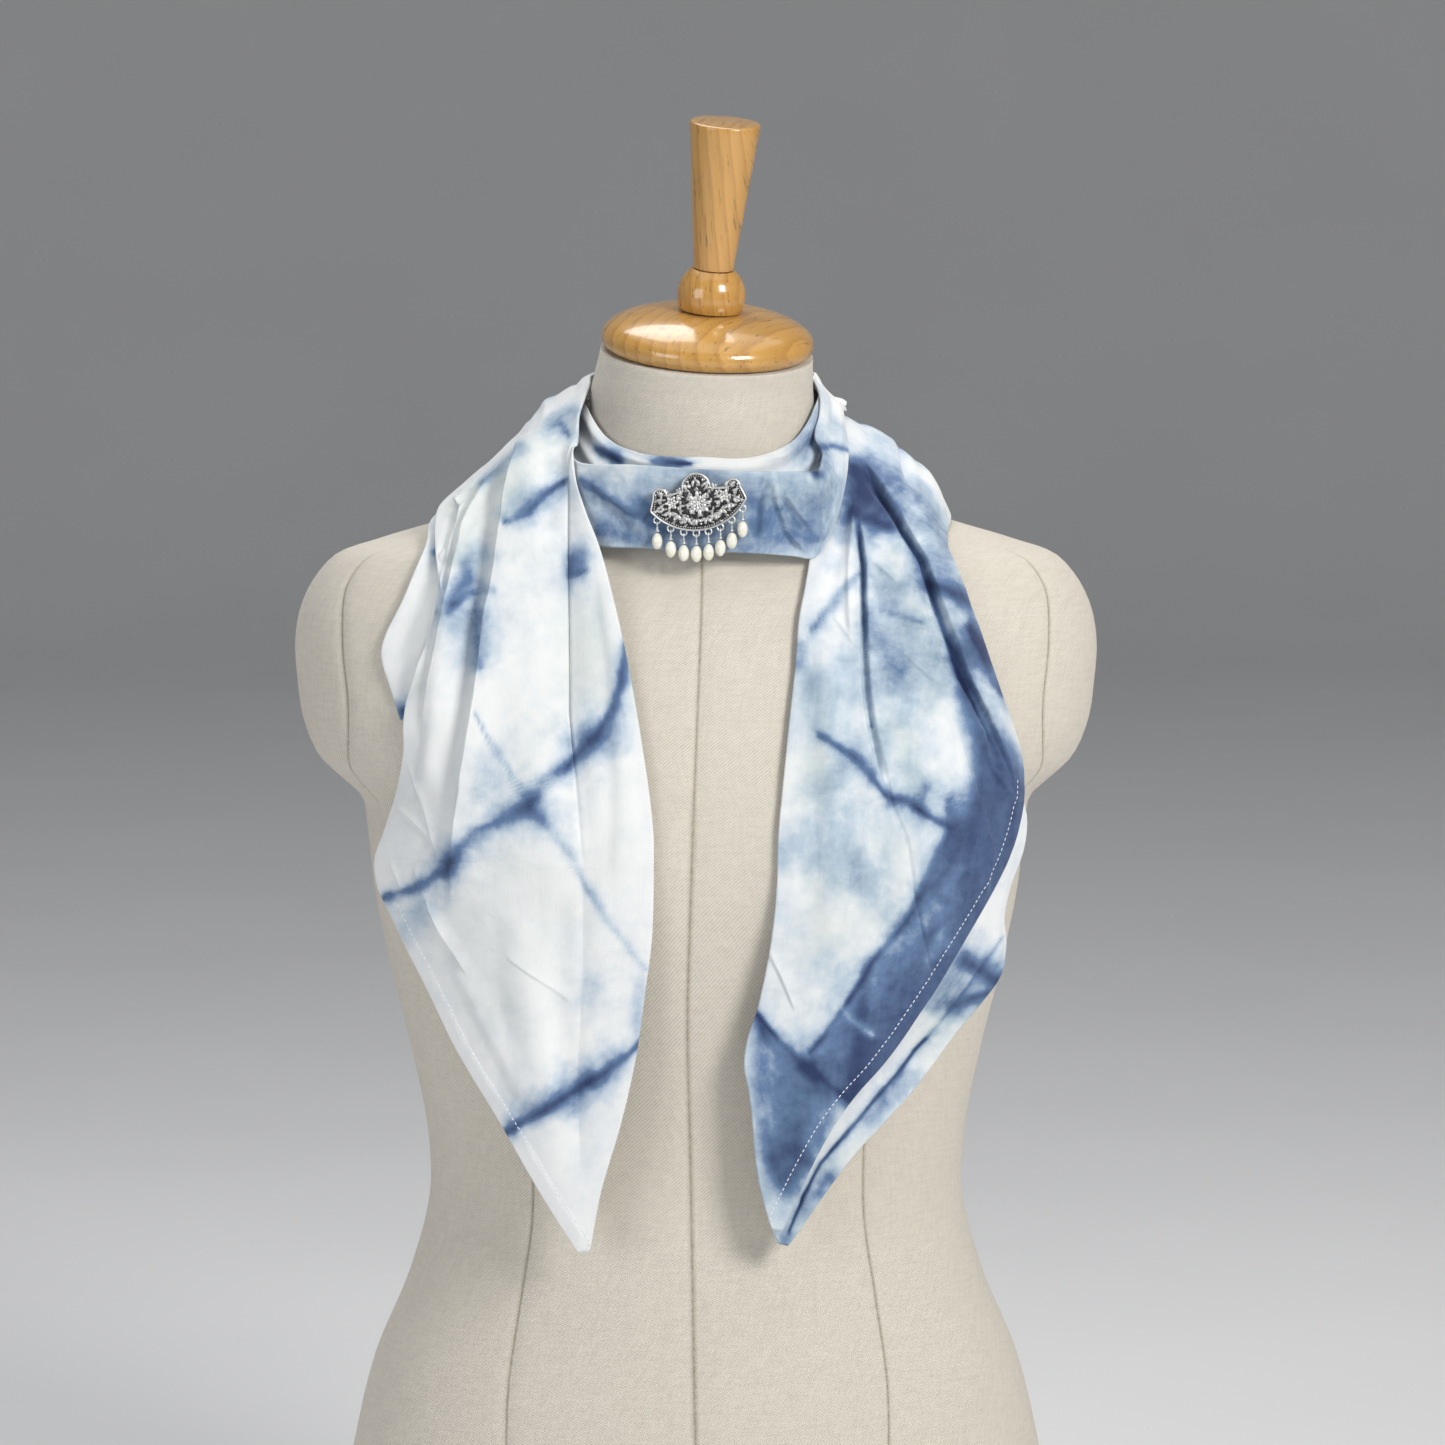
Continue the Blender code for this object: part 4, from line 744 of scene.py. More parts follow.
# Small leaves in rows over the plate's field, between the rosettes. Millimetres.
FIELD_ROWS = 10
FIELD_STEPS = 11
FIELD_PITCH = 2.1
FIELD_LOW = -8.4
FIELD_RISE = 2.1


# Each stretch of the scarf, from the lowest layer up: the tables of its shape, its coarse rows
# and the hand of its way out; its fine rows and columns; the nodes that it lies over; its folds
# and its dye, rinse tint and painted shade; its hem; and calm, the shares of its rows where
# creases even out, and how often.
STRETCHES = {
    "neck_wrap": dict(
        shape=(NECK_WRAP_SECTIONS, NECK_WRAP_KEYS, NECK_WRAP_CREASES, 44, 1), fine=(420, 44),
        over=("form_body",), folds=WRAP_FOLDS, dye_and_shade=WRAP_DYE, back_dye=WRAP_BACK_DYE, haze=0.10,
        roll=0.6, closed=True),
    "fall_right_under": dict(
        shape=(FALL_RIGHT_UNDER_SECTIONS, UNDER_KEYS, UNDER_CREASES, 16, -1), fine=(210, 90),
        over=("form_body",), folds=UNDER_FOLDS, dye_and_shade=UNDER_DYE, rinse_and_shade=UNDER_RINSE_AND_SHADE, haze=0.06,
        hem=UNDER_HEM),
    "fall_right": dict(
        shape=(FALL_RIGHT_SECTIONS, FALL_RIGHT_KEYS, FALL_RIGHT_CREASES, 44, -1),
        fine=(400, 104), over=("form_body", "neck_wrap", "fall_right_under"),
        folds=RIGHT_FOLDS, back_folds=RIGHT_BACK_FOLDS, dye_and_shade=RIGHT_DYE_AND_SHADE, areas=RIGHT_DYE_AND_SHADE_AREAS,
        light=RIGHT_LIGHT, rinse_and_shade=RIGHT_RINSE_AND_SHADE, back_dye=RIGHT_BACK_DYE, haze=0.15, hem=RIGHT_HEM,
        calm=(0.28, 0.37, 40)),
    "front_band": dict(
        shape=(FRONT_BAND_SECTIONS, FRONT_BAND_KEYS, FRONT_BAND_CREASES, 40, 1), fine=(260, 72),
        over=("form_body", "neck_wrap", "fall_right"), folds=BAND_FOLDS, dye_and_shade=BAND_DYE_AND_SHADE,
        rinse_and_shade=BAND_WASH, haze=0.24),
    "fall_left_lobe": dict(
        shape=(FALL_LEFT_LOBE_SECTIONS, LOBE_KEYS, LOBE_CREASES, 16, 1), fine=(110, 44),
        over=("form_body",), folds=LOBE_FOLDS, dye_and_shade=LOBE_DYE, rinse_and_shade=LOBE_RINSE_AND_SHADE, haze=0.05),
    "fall_left": dict(
        shape=(FALL_LEFT_SECTIONS, FALL_LEFT_KEYS, FALL_LEFT_CREASES, 44, 1), fine=(410, 108),
        over=("form_body", "neck_wrap", "fall_right", "front_band", "fall_left_lobe"),
        folds=LEFT_FOLDS, back_folds=LEFT_BACK_FOLDS, dye_and_shade=LEFT_DYE, rinse_and_shade=LEFT_RINSE_AND_SHADE,
        back_dye=LEFT_BACK_DYE, haze=0.04, hem=LEFT_HEM, calm=(0.22, 0.35, 60), sunk=8.0),
}


# Form seams: rows of height in millimetres, place from -1 at the left to 1, and share of depth.

def mirrored(seam):
    """The same seam on the other side."""
    return tuple((height, -place, depth) for height, place, depth in seam)


SIDE_SEAM = ((0, 1.0, .4), (425, 1.0, .4), (440, 1.0, 0), (660, 1.0, 0))
ARMHOLE = (
    (0, .93, 0), (425, .93, 0), (433, .955, .9), (465, .86, 1), (504, .865, 1), (530, .89, 1),
    (546, .93, .8), (555, .9, 0), (660, .86, 0),
)
BACK_ARMHOLE = (
    (0, .93, 0), (425, .93, 0), (433, .95, .9), (465, .84, 1), (504, .83, 1), (530, .86, 1),
    (546, .92, .8), (555, .9, 0), (660, .86, 0),
)
LEFT_PRINCESS = (
    (0, -.56, 1), (110, -.54, 1), (194, -.60, 1), (236, -.60, 1), (346, -.58, 1),
    (420, -.54, 1), (500, -.42, 1), (546, -.42, 1), (575, -.55, 0), (660, -.5, 0),
)
RIGHT_PRINCESS = (
    (0, .56, 1), (110, .55, 1), (194, .62, 1), (236, .62, 1), (346, .59, 1), (420, .54, 1),
    (500, .42, 1), (546, .42, 1), (575, .55, 0), (660, .5, 0),
)
BACK_PRINCESS = (
    (0, .50, 1), (110, .48, 1), (236, .46, 1), (346, .48, 1), (500, .40, 1), (546, .40, 1),
    (575, .5, 0), (660, .5, 0),
)
CENTRE_FRONT = (
    (0, 0, 1), (110, .003, 1), (328, -.027, 1), (450, 0, 1), (544, .019, 1), (580, .02, 1),
    (592, .02, 0), (660, .02, 0),
)
CENTRE_BACK = ((0, 0, 1), (580, 0, 1), (630, 0, 1), (660, 0, 0))
# In order round the form, those on the front and those on the back.
FORM_SEAMS = {
    1: (mirrored(SIDE_SEAM), mirrored(ARMHOLE), LEFT_PRINCESS, CENTRE_FRONT, RIGHT_PRINCESS,
        ARMHOLE, SIDE_SEAM),
    -1: (BACK_ARMHOLE, BACK_PRINCESS, CENTRE_BACK, mirrored(BACK_PRINCESS),
         mirrored(BACK_ARMHOLE)),
}

# What is built so far: a tree of each stretch's surface, and the rows that its hem follows.
CLOTH = {}


# Points and surfaces

def eased(t):
    """A share from 0 to 1 with a soft start and end."""
    return t * t * (3 - 2 * t)


def run_along(points):
    """How far along a row of points each one is."""
    return np.concatenate([[0], np.cumsum(np.linalg.norm(np.diff(points, axis=0), axis=1))])


def run_across(points):
    """How far across its row each point of a grid is."""
    return np.stack([run_along(row) for row in points])


def read_path(path, run, place):
    """The values at a place along a path, where run says how far along each row of it is."""
    return [np.interp(place, run, path[:, axis]) for axis in range(path.shape[1])]


def read_surface(surface, shares):
    """Points of a surface at each row's shares of the way across."""
    return np.stack([np.stack(read_path(row, run, share * run[-1]), axis=-1)
                     for row, run, share in zip(*surface, shares)])


def through_rows(values, knots, places):
    """Smooth curve through rows of values, read at places between the first and last knot."""
    slopes = np.gradient(values, knots, axis=0)
    index = np.clip(np.searchsorted(knots, places, side="right") - 1, 0, len(knots) - 2)
    span = (knots[index + 1] - knots[index])[:, None]
    t = (places - knots[index])[:, None] / span
    return (
        (2 * t ** 3 - 3 * t ** 2 + 1) * values[index]
        + (t ** 3 - 2 * t ** 2 + t) * span * slopes[index]
        + (3 * t ** 2 - 2 * t ** 3) * values[index + 1]
        + (t ** 3 - t ** 2) * span * slopes[index + 1]
    )


def cloth_grid(sections, keys, creases, rows, hand):
    """Points of a stretch's outer side, and the way out at each, row by row.

    hand is 1 where the way out is edge across times length, and -1 on the other side."""
    table = np.array([row[1:] for row in sections], float) * MM
    names = [row[0] for row in sections]
    knots = run_along((table[:, :3] + table[:, 3:6]) / 2)
    places = np.linspace(0, knots[-1], rows + 1)
    shaped = through_rows(table, knots, places)
    edge_a, edge_b, bulge = shaped[:, :3], shaped[:, 3:6], shaped[:, 6:]
    key_places = [knots[names.index(key)] for key in keys]

    def down(crease):
        across, raised = [np.interp(places, key_places, values) for values in crease[1:3]]
        return across, raised * MM

    columns = [down(creases[0])]
    for before, crease in zip(creases, creases[1:]):
        (across, raised), (next_across, next_raised) = down(before), down(crease)
        for step in range(1, crease[3] + 1):
            t = step / crease[3]
            columns.append((across + (next_across - across) * t,
                            raised + (next_raised - raised) * (t + eased(t)) / 2))
    across, raised = [np.stack(part, axis=1) for part in zip(*columns)]
    out = np.cross(edge_b - edge_a, np.gradient((edge_a + edge_b) / 2, places, axis=0)) * hand
    out /= np.linalg.norm(out, axis=1)[:, None]
    lift = raised + bulge * 4 * across * (1 - across)
    points = (edge_a[:, None] * (1 - across)[:, :, None] + edge_b[:, None] * across[:, :, None]
              + out[:, None] * lift[:, :, None])
    return points, np.repeat(out[:, None], across.shape[1], axis=1)


def finer(values):
    """Values on a grid SETTLE_FINE times as fine, by straight lines between rows and columns."""
    for _ in range(2):
        count = len(values)
        places = np.linspace(0, count - 1, (count - 1) * SETTLE_FINE + 1)
        low = np.minimum(places.astype(int), count - 2)
        part = (places - low)[:, None, None]
        values = (values[low] * (1 - part) + values[low + 1] * part).swapaxes(0, 1)
    return values


def around(values):
    """The nine values at and round each place."""
    padded = np.pad(values, 1, mode="edge")
    rows, columns = values.shape
    return np.array([padded[i:i + rows, j:j + columns] for i in range(3) for j in range(3)])


def grown(values, times, evened_times):
    """Values spread to their neighbours, largest first, and then evened out."""
    for _ in range(times):
        values = around(values).max(axis=0)
    for _ in range(evened_times):
        values = around(values).mean(axis=0)
    return values


def moved_out(points, out, lift, closed):
    """Points moved out, with the last row kept on the first where the stretch is a loop."""
    points = points + out * lift[:, :, None]
    if closed:
        points[-1] = points[0]
    return points


def lifts_over(points, out, obstacles, reach, clearance):
    """How far each point moves out to stand clear of what lies under it."""
    needed = np.zeros(points.shape[:2])
    for row, column in np.ndindex(needed.shape):
        direction = Vector(out[row, column]).normalized()
        start = Vector(points[row, column]) + direction * reach
        for tree in obstacles:
            distance = tree.ray_cast(start, -direction, 2 * reach)[3]
            if distance is not None:
                clear = reach - distance + clearance[row, column]
                needed[row, column] = max(needed[row, column], clear)
    return needed


def settle(points, out, obstacles, closed):
    """Move points out until the wall clears everything that lies under it."""
    fine_points = finer(points)
    clearance = np.full(fine_points.shape[:2], WALL + SETTLE_GAP)
    lifts = lifts_over(fine_points, finer(out), obstacles, SETTLE_REACH, clearance)
    lifts = grown(lifts, SETTLE_FINE - 1, 0)[::SETTLE_FINE, ::SETTLE_FINE]
    for _ in range(2):
        lifts = np.maximum(lifts, around(lifts).mean(axis=0))
    return moved_out(points, out, lifts, closed)


def smooth_surface(points, rows, closed):
    """Fine rows through a coarse grid, closely spaced across, and how far across each place is."""
    coarse_rows, coarse_columns = points.shape[:2]
    ahead = LOOP_ROWS if closed else 0
    if closed:
        points = np.concatenate([points[-1 - ahead:-1], points, points[1:1 + ahead]])
    knots = np.arange(len(points), dtype=float) - ahead
    places = np.linspace(0, coarse_rows - 1, rows + 1)
    along = through_rows(points.reshape(len(points), -1), knots, places)
    turned = along.reshape(rows + 1, coarse_columns, 3).swapaxes(0, 1)
    knots = np.arange(coarse_columns, dtype=float)
    places = np.linspace(0, coarse_columns - 1, (coarse_columns - 1) * DENSE_ACROSS + 1)
    across = through_rows(turned.reshape(coarse_columns, -1), knots, places)
    across = across.reshape(len(places), rows + 1, 3).swapaxes(0, 1)
    return across, run_across(across)


def crowded_shares(points, folds, shares):
    """Shares of the way across, closer together beside the pressed folds that are seen."""
    view = view_places(points)
    crowd = np.ones(shares.shape)
    for _, _, _, _, crisp, path in folds:
        if crisp >= PRESSED:
            distance = np.abs(from_path(view, path)[0]) * VIEW_POINT / MM
            crowd += CROWD_SHARE * np.exp(-(distance / CROWD_REACH) ** 2) * seen_share(points)
    crowd = grown(crowd, 0, 3)
    total = np.cumsum((crowd[:, 1:] + crowd[:, :-1]) / 2, axis=1)
    total = np.concatenate([np.zeros((len(crowd), 1)), total], axis=1)
    even = np.linspace(0, 1, shares.shape[1])
    return np.stack([np.interp(even, passed / passed[-1], share)
                     for passed, share in zip(total, shares)])


def calmed(points, start, full, passes):
    """Even out the creases across the stretch, from a share of its rows on."""
    weight = (np.linspace(0, 1, len(points)) - start) / (full - start)
    weight = np.clip(weight, 0, 1)[:, None, None]
    smooth = points
    for _ in range(passes):
        before = 2 * smooth[:, :1] - smooth[:, 1:2]
        after = 2 * smooth[:, -1:] - smooth[:, -2:-1]
        padded = np.concatenate([before, smooth, after], axis=1)
        smooth = (padded[:, :-2] + 2 * padded[:, 1:-1] + padded[:, 2:]) / 4
    return points * (1 - weight) + smooth * weight


def ways_out(points, hand, closed=False):
    """The way out at each point of a grid."""
    if closed:
        padded = np.concatenate([points[-2:-1], points, points[1:2]])
        along = np.gradient(padded, axis=0)[1:-1]
    else:
        along = np.gradient(points, axis=0)
    out = np.cross(np.gradient(points, axis=1), along) * hand
    return out / np.maximum(np.linalg.norm(out, axis=2), TINY)[:, :, None]


def evened(out, closed):
    """Ways out that change slowly, so that folds stand up without crossing."""
    for _ in range(EVEN_PASSES):
        padded = np.pad(out, ((1, 1), (1, 1), (0, 0)), mode="edge")
        if closed:
            padded[0, 1:-1] = out[-2]
            padded[-1, 1:-1] = out[1]
        beside = padded[:-2, 1:-1] + padded[2:, 1:-1] + padded[1:-1, :-2] + padded[1:-1, 2:]
        out = (beside + out) / 5
    return out / np.linalg.norm(out, axis=2)[:, :, None]


def flat_places(points):
    """Each point's place on the flat cloth: millimetres across and along."""
    along = run_along(points[:, points.shape[1] // 2])
    along = np.repeat(along[:, None], points.shape[1], axis=1)
    return np.stack([run_across(points), along], axis=2) / MM


def view_places(points):
    """Where points fall in the front view, in view points from its upper left."""
    from_eye = points - (np.array(VIEW_AIM) - np.array(VIEW_LOOK) * VIEW_DISTANCE)
    size = VIEW_DISTANCE / VIEW_POINT / (from_eye @ VIEW_LOOK)
    across, up = from_eye[..., 0] * size, (from_eye @ VIEW_UP) * size
    return VIEW_SIDE / 2 + np.stack([across, -up], axis=-1)


def seen_share(points):
    """1 where the front view sees points, and 0 on the hidden sides."""
    return np.clip((SEEN_FROM - points[..., 1]) / SEEN_OVER, 0, 1)


def cloud(places, size, seed):
    """Smooth seeded noise from -1 to 1 over flat places."""
    lattice = np.random.default_rng(seed).uniform(-1, 1, (CLOUD_CELLS, CLOUD_CELLS))
    cell = np.floor(places / size).astype(int)
    part = eased(places / size - cell)
    i, j = cell[..., 0] % CLOUD_CELLS, cell[..., 1] % CLOUD_CELLS
    i_next, j_next = (i + 1) % CLOUD_CELLS, (j + 1) % CLOUD_CELLS
    s, t = part[..., 0], part[..., 1]
    return (
        lattice[i, j] * (1 - s) * (1 - t) + lattice[i_next, j] * s * (1 - t)
        + lattice[i, j_next] * (1 - s) * t + lattice[i_next, j_next] * s * t
    )


def from_path(places, path):
    """Distance from a path, above zero on its right, and the share of the path passed."""
    path = np.array(path, float)
    best = np.full(places.shape[:-1], np.inf)
    side = np.ones_like(best)
    share = np.zeros_like(best)
    passed = run_along(path)
    for start, end, before in zip(path, path[1:], passed):
        length = np.linalg.norm(end - start)
        way = (end - start) / length
        away = places - start
        along = np.clip(away @ way, 0, length)
        distance = np.linalg.norm(away - along[..., None] * way, axis=-1)
        turn = way[0] * away[..., 1] - way[1] * away[..., 0]
        closer = distance < best
        best = np.where(closer, distance, best)
        side = np.where(closer, np.where(turn > 0, -1.0, 1.0), side)
        share = np.where(closer, (before + along) / passed[-1], share)
    return best * side, share


def fold_lift(places, folds, unit):
    """Height of the fine folds at each place, where a unit of place is this many millimetres."""
    total = np.zeros(places.shape[:-1])
    for _, height, left, right, crisp, path in folds:
        distance, share = from_path(places, path)
        t = np.clip(np.abs(distance) * unit / np.where(distance < 0, left, right), 0, 1)
        shape = crisp * (1 - t) ** 2 + (1 - crisp) * (1 - t * t) ** 2
        ends = np.clip(np.minimum(share, 1 - share) / FOLD_ENDS, 0, 1)
        total += height * shape * eased(ends)
    return total * MM


def mark_strength(places, marks):
    """Strength of marks left by lines and spots, each with a dark core and a paler bleed round it,
    for the blue on the cloth and for painted shade alike.

    Long lines thin out toward their ends, and bleed further on one side than on the other."""
    clear = np.ones(places.shape[:-1])
    for strength, half_width, path in marks:
        distance, share = from_path(places, path)
        uneven = 1 + 0.30 * cloud(places, 15, 5) + 0.16 * cloud(places, 6, 6)
        if run_along(np.array(path, float))[-1] > LINE_SHARE * half_width:
            ends = np.clip(np.minimum(share, 1 - share) / LINE_ENDS, 0, 1)
            uneven *= (0.6 + 0.4 * ends) * np.where(distance > 0, 1.35, 0.85)
            uneven *= 1 + 0.3 * cloud(places, 34, 9)
            strength = strength * np.clip(0.84 + 0.42 * cloud(places, 27, 13), 0.4, 1.08)
        t = np.abs(distance) / (half_width * np.maximum(uneven, 0.25))
        depth = MARK_CORE * np.exp(-t * t) + (1 - MARK_CORE) * np.exp(-(t / MARK_BLEED) ** 2)
        clear *= 1 - np.minimum(strength, 1) * depth
    return 1 - clear


def within(places, areas):
    """Strength over whole areas with soft edges: on the cloth, blue areas that are partly painted
    shade.
    """
    clear = np.ones(places.shape[:-1])
    for strength, feather, corners in areas:
        closed = corners + (corners[0],)
        distance = np.abs(from_path(places, closed)[0])
        inside = np.zeros(distance.shape, bool)
        for (x1, y1), (x2, y2) in zip(closed, closed[1:]):
            if y1 != y2:
                crosses = (places[..., 1] < y1) != (places[..., 1] < y2)
                edge_x = x1 + (places[..., 1] - y1) * (x2 - x1) / (y2 - y1)
                inside ^= crosses & (places[..., 0] < edge_x)
        t = np.clip(0.5 + np.where(inside, distance, -distance) / (2 * feather), 0, 1)
        clear *= 1 - strength * eased(t)
    return 1 - clear


# Pieces

def spun(bm, profile, steps):
    """Spin a profile of radius and height about the Z axis."""
    verts = [bm.verts.new((radius, 0, height)) for radius, height in profile]
    edges = [bm.edges.new(pair) for pair in zip(verts, verts[1:])]
    bmesh.ops.spin(bm, geom=verts + edges, cent=(0, 0, 0), axis=(0, 0, 1),
                   angle=2 * math.pi, steps=steps, use_merge=True)


def closed_up(bm):
    """Weld what meets, and turn every face outward."""
    bmesh.ops.remove_doubles(bm, verts=bm.verts, dist=WELD)
    bmesh.ops.recalc_face_normals(bm, faces=bm.faces)


def grid_of(points, values, flat):
    """A grid of faces over points, with values as attributes and flat places as its UV map."""
    rows, columns = points.shape[0] - 1, points.shape[1] - 1
    bm = bmesh.new()
    layers = {key: bm.verts.layers.float.new(key) for key in values}
    uv_layer = bm.loops.layers.uv.new("flat")
    grid = bmesh.ops.create_grid(bm, x_segments=columns, y_segments=rows, size=0.5)
    places = {}
    for vert in grid["verts"]:
        place = round((vert.co.y + 0.5) * rows), round((vert.co.x + 0.5) * columns)
        vert.co = points[place]
        places[vert] = place
        for key, layer in layers.items():
            vert[layer] = values[key][place]
    for face in bm.faces:
        face.smooth = True
        for loop in face.loops:
            loop[uv_layer].uv = flat[places[loop.vert]] * UV_SCALE
    return bm


def add_object(name, bm, material, smooth=True, sharp=None):
    """Link a bmesh as a new object, smooth but for its edges over a sharp angle in degrees."""
    mesh = bpy.data.meshes.new(name)
    bm.to_mesh(mesh)
    bm.free()
    if smooth:
        mesh.shade_smooth()
    if sharp is not None:
        mesh.set_sharp_from_angle(angle=math.radians(sharp))
    made = bpy.data.objects.new(name, mesh)
    bpy.context.scene.collection.objects.link(made)
    mesh.materials.append(material)
    return made


def add_piece(name, bm, body, nodes, material, smooth=True, sharp=None):
    """Add a piece that rides on a body and stands for CAD nodes."""
    piece = add_object(name, bm, material, smooth, sharp)
    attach(piece, body)
    if nodes:
        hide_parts(*nodes)
    return piece


# Materials

def add_node(material, kind, settings=None, inputs=None):
    """A shader node with its settings, its inputs given as values or joined to sockets."""
    made = material.node_tree.nodes.new(kind)
    for key, value in (settings or {}).items():
        setattr(made, key, value)
    for key, value in (inputs or {}).items():
        if isinstance(value, bpy.types.NodeSocket):
            join(material, value, made.inputs[key])
        else:
            made.inputs[key].default_value = value
    return made


def start_material(name, **values):
    """A new Principled material and its shader, with plain values set on the shader's sockets."""
    material = bpy.data.materials.new(name)
    material.use_nodes = True
    shader = material.node_tree.nodes["Principled BSDF"]
    for key, value in values.items():
        shader.inputs[key.replace("_", " ")].default_value = value
    return material, shader


def join(material, socket, target):
    """Link one socket to another."""
    material.node_tree.links.new(socket, target)


def attribute(material, name):
    """The value of a vertex attribute."""
    return add_node(material, "ShaderNodeAttribute", {"attribute_name": name}).outputs["Fac"]


def flat_cloth(material):
    """The place on the flat cloth."""
    return add_node(material, "ShaderNodeUVMap", {"uv_map": "flat"}).outputs["UV"]


def own_place(material):
    """The place in the object's own frame."""
    return add_node(material, "ShaderNodeTexCoord").outputs["Object"]


def ramp(material, factor, *stops):
    """A colour ramp over stops of place and colour."""
    made = add_node(material, "ShaderNodeValToRGB", None, {"Fac": factor})
    elements = made.color_ramp.elements
    while len(elements) < len(stops):
        elements.new(1.0)
    for element, (place, colour) in zip(elements, stops):
        element.position = place
        element.color = (*colour, 1.0)
    return made.outputs["Color"]


def sums(material, operation, *values):
    """A Math node over values or sockets."""
    return add_node(material, "ShaderNodeMath", {"operation": operation},
                    dict(enumerate(values))).outputs[0]


def mixed(material, factor, first, second, blend="MIX"):
    """Two colours mixed by a factor."""
    first, second = [value if isinstance(value, bpy.types.NodeSocket) else (*value, 1.0)
                     for value in (first, second)]
    return add_node(material, "ShaderNodeMix", {"data_type": "RGBA", "blend_type": blend},
                    {0: factor, 6: first, 7: second}).outputs[2]


def turned_place(material, vector, scale, turn):
    """Coordinates scaled along each axis and turned."""
    return add_node(material, "ShaderNodeMapping", None,
                    {"Vector": vector, "Scale": scale, "Rotation": turn}).outputs["Vector"]


def noise_over(material, vector, scale, detail, roughness, stretch=None):
    """A noise's height over coordinates, stretched along one way where a stretch is given."""
    if stretch is not None:
        vector = turned_place(material, vector, *stretch)
    return add_node(material, "ShaderNodeTexNoise", None,
                    {"Vector": vector, "Scale": scale, "Detail": detail,
                     "Roughness": roughness}).outputs["Fac"]


def bands_over(material, vector, scale, turn, distortion, detail):
    """Even bands over coordinates, turned by an angle in degrees."""
    vector = turned_place(material, vector, (1, 1, 1), (0, 0, math.radians(turn)))
    return add_node(material, "ShaderNodeTexWave", {"wave_type": "BANDS", "bands_direction": "X"},
                    {"Vector": vector, "Scale": scale, "Distortion": distortion,
                     "Detail": detail}).outputs["Fac"]


def bumped(material, shader, *layers):
    """Bumps from several heights, each with its distance and strength."""
    inputs = {}
    for height, distance, strength in layers:
        inputs.update({"Height": height, "Distance": distance, "Strength": strength})
        inputs["Normal"] = add_node(material, "ShaderNodeBump", None, inputs).outputs["Normal"]
    join(material, inputs["Normal"], shader.inputs["Normal"])


def shaded(colour, *shares):
    """A colour times a share, or times one share for each of its parts."""
    shares = shares * (4 - len(shares))
    return tuple(min(1.0, value * share) for value, share in zip(colour, shares))


def cotton_material():
    """Light cotton: white, blue and grey green where its two mark attributes say, both partly
    painted shade, with a fine bias weave.
    """
    made = bpy.data.materials.get("dyed_cotton")
    if made is not None:
        return made
    settings = bpy.context.scene.scarf_settings
    material, shader = start_material("dyed_cotton", Roughness=0.86, Sheen_Weight=0.22,
                                      Sheen_Roughness=0.45, Specular_IOR_Level=0.25)
    flat = flat_cloth(material)
    # Blue dye, and painted shade in the right fall's pocket and gaps and beside the band's strip.
    dye_and_shade = attribute(material, "dye_and_shade")
    # Painted shade, with a faint grey-green rinse tint.
    rinse_and_shade = attribute(material, "rinse_and_shade")
    bleed = noise_over(material, flat, 16.0, 8.0, 0.68)
    streaks = noise_over(material, flat, 9.0, 6.0, 0.6, ((1.0, 0.22, 1.0), (0, 0, 0.5)))
    clear = sums(material, "SUBTRACT", 1.0, dye_and_shade)
    room = sums(material, "MULTIPLY", sums(material, "MULTIPLY", dye_and_shade, clear), 4.0)
    change = sums(material, "SUBTRACT", sums(material, "ADD", bleed, streaks), 1.0)
    change = sums(material, "MULTIPLY", change, 0.5)
    spread = sums(material, "MULTIPLY_ADD", change, room, dye_and_shade)
    cloudy = noise_over(material, flat, 3.2, 5.0, 0.6)
    haze = sums(material, "MAXIMUM", sums(material, "MULTIPLY_ADD", cloudy, 0.5, -0.26), 0.0)
    spread = sums(material, "ADD", spread, sums(material, "MULTIPLY", haze, 0.5))
    colour = ramp(material, spread, (0.02, settings.white_colour), (0.22, settings.pale_colour),
                  (0.55, settings.mid_colour), (0.95, settings.dark_colour))
    # Painted shade and rinse tint, multiplied over the colour.
    rinse_and_shade_share = sums(material, "MULTIPLY", rinse_and_shade, sums(material, "MULTIPLY_ADD", cloudy, 1.4, -0.1))
    rinse_and_shade_share = sums(material, "MINIMUM", rinse_and_shade_share, 0.75)
    colour = mixed(material, rinse_and_shade_share, colour, settings.rinse_and_shade_colour, "MULTIPLY")
    join(material, colour, shader.inputs["Base Color"])
    warp = bands_over(material, flat, 70.0, 45, 0.4, 1.0)
    weft = bands_over(material, flat, 70.0, -45, 0.4, 1.0)
    weave = sums(material, "ADD", warp, weft)
    slubs = noise_over(material, flat, 60.0, 3.0, 0.6, ((1.0, 0.12, 1.0), (0, 0, math.pi / 4)))
    crush = noise_over(material, flat, 7.0, 5.0, 0.62, ((1.0, 0.4, 1.0), (0, 0, 0.2)))
    bumped(material, shader, (weave, 0.12 * MM, 0.35), (slubs, 0.2 * MM, 0.3),
           (crush, 2.2 * MM, 0.3))
    return material


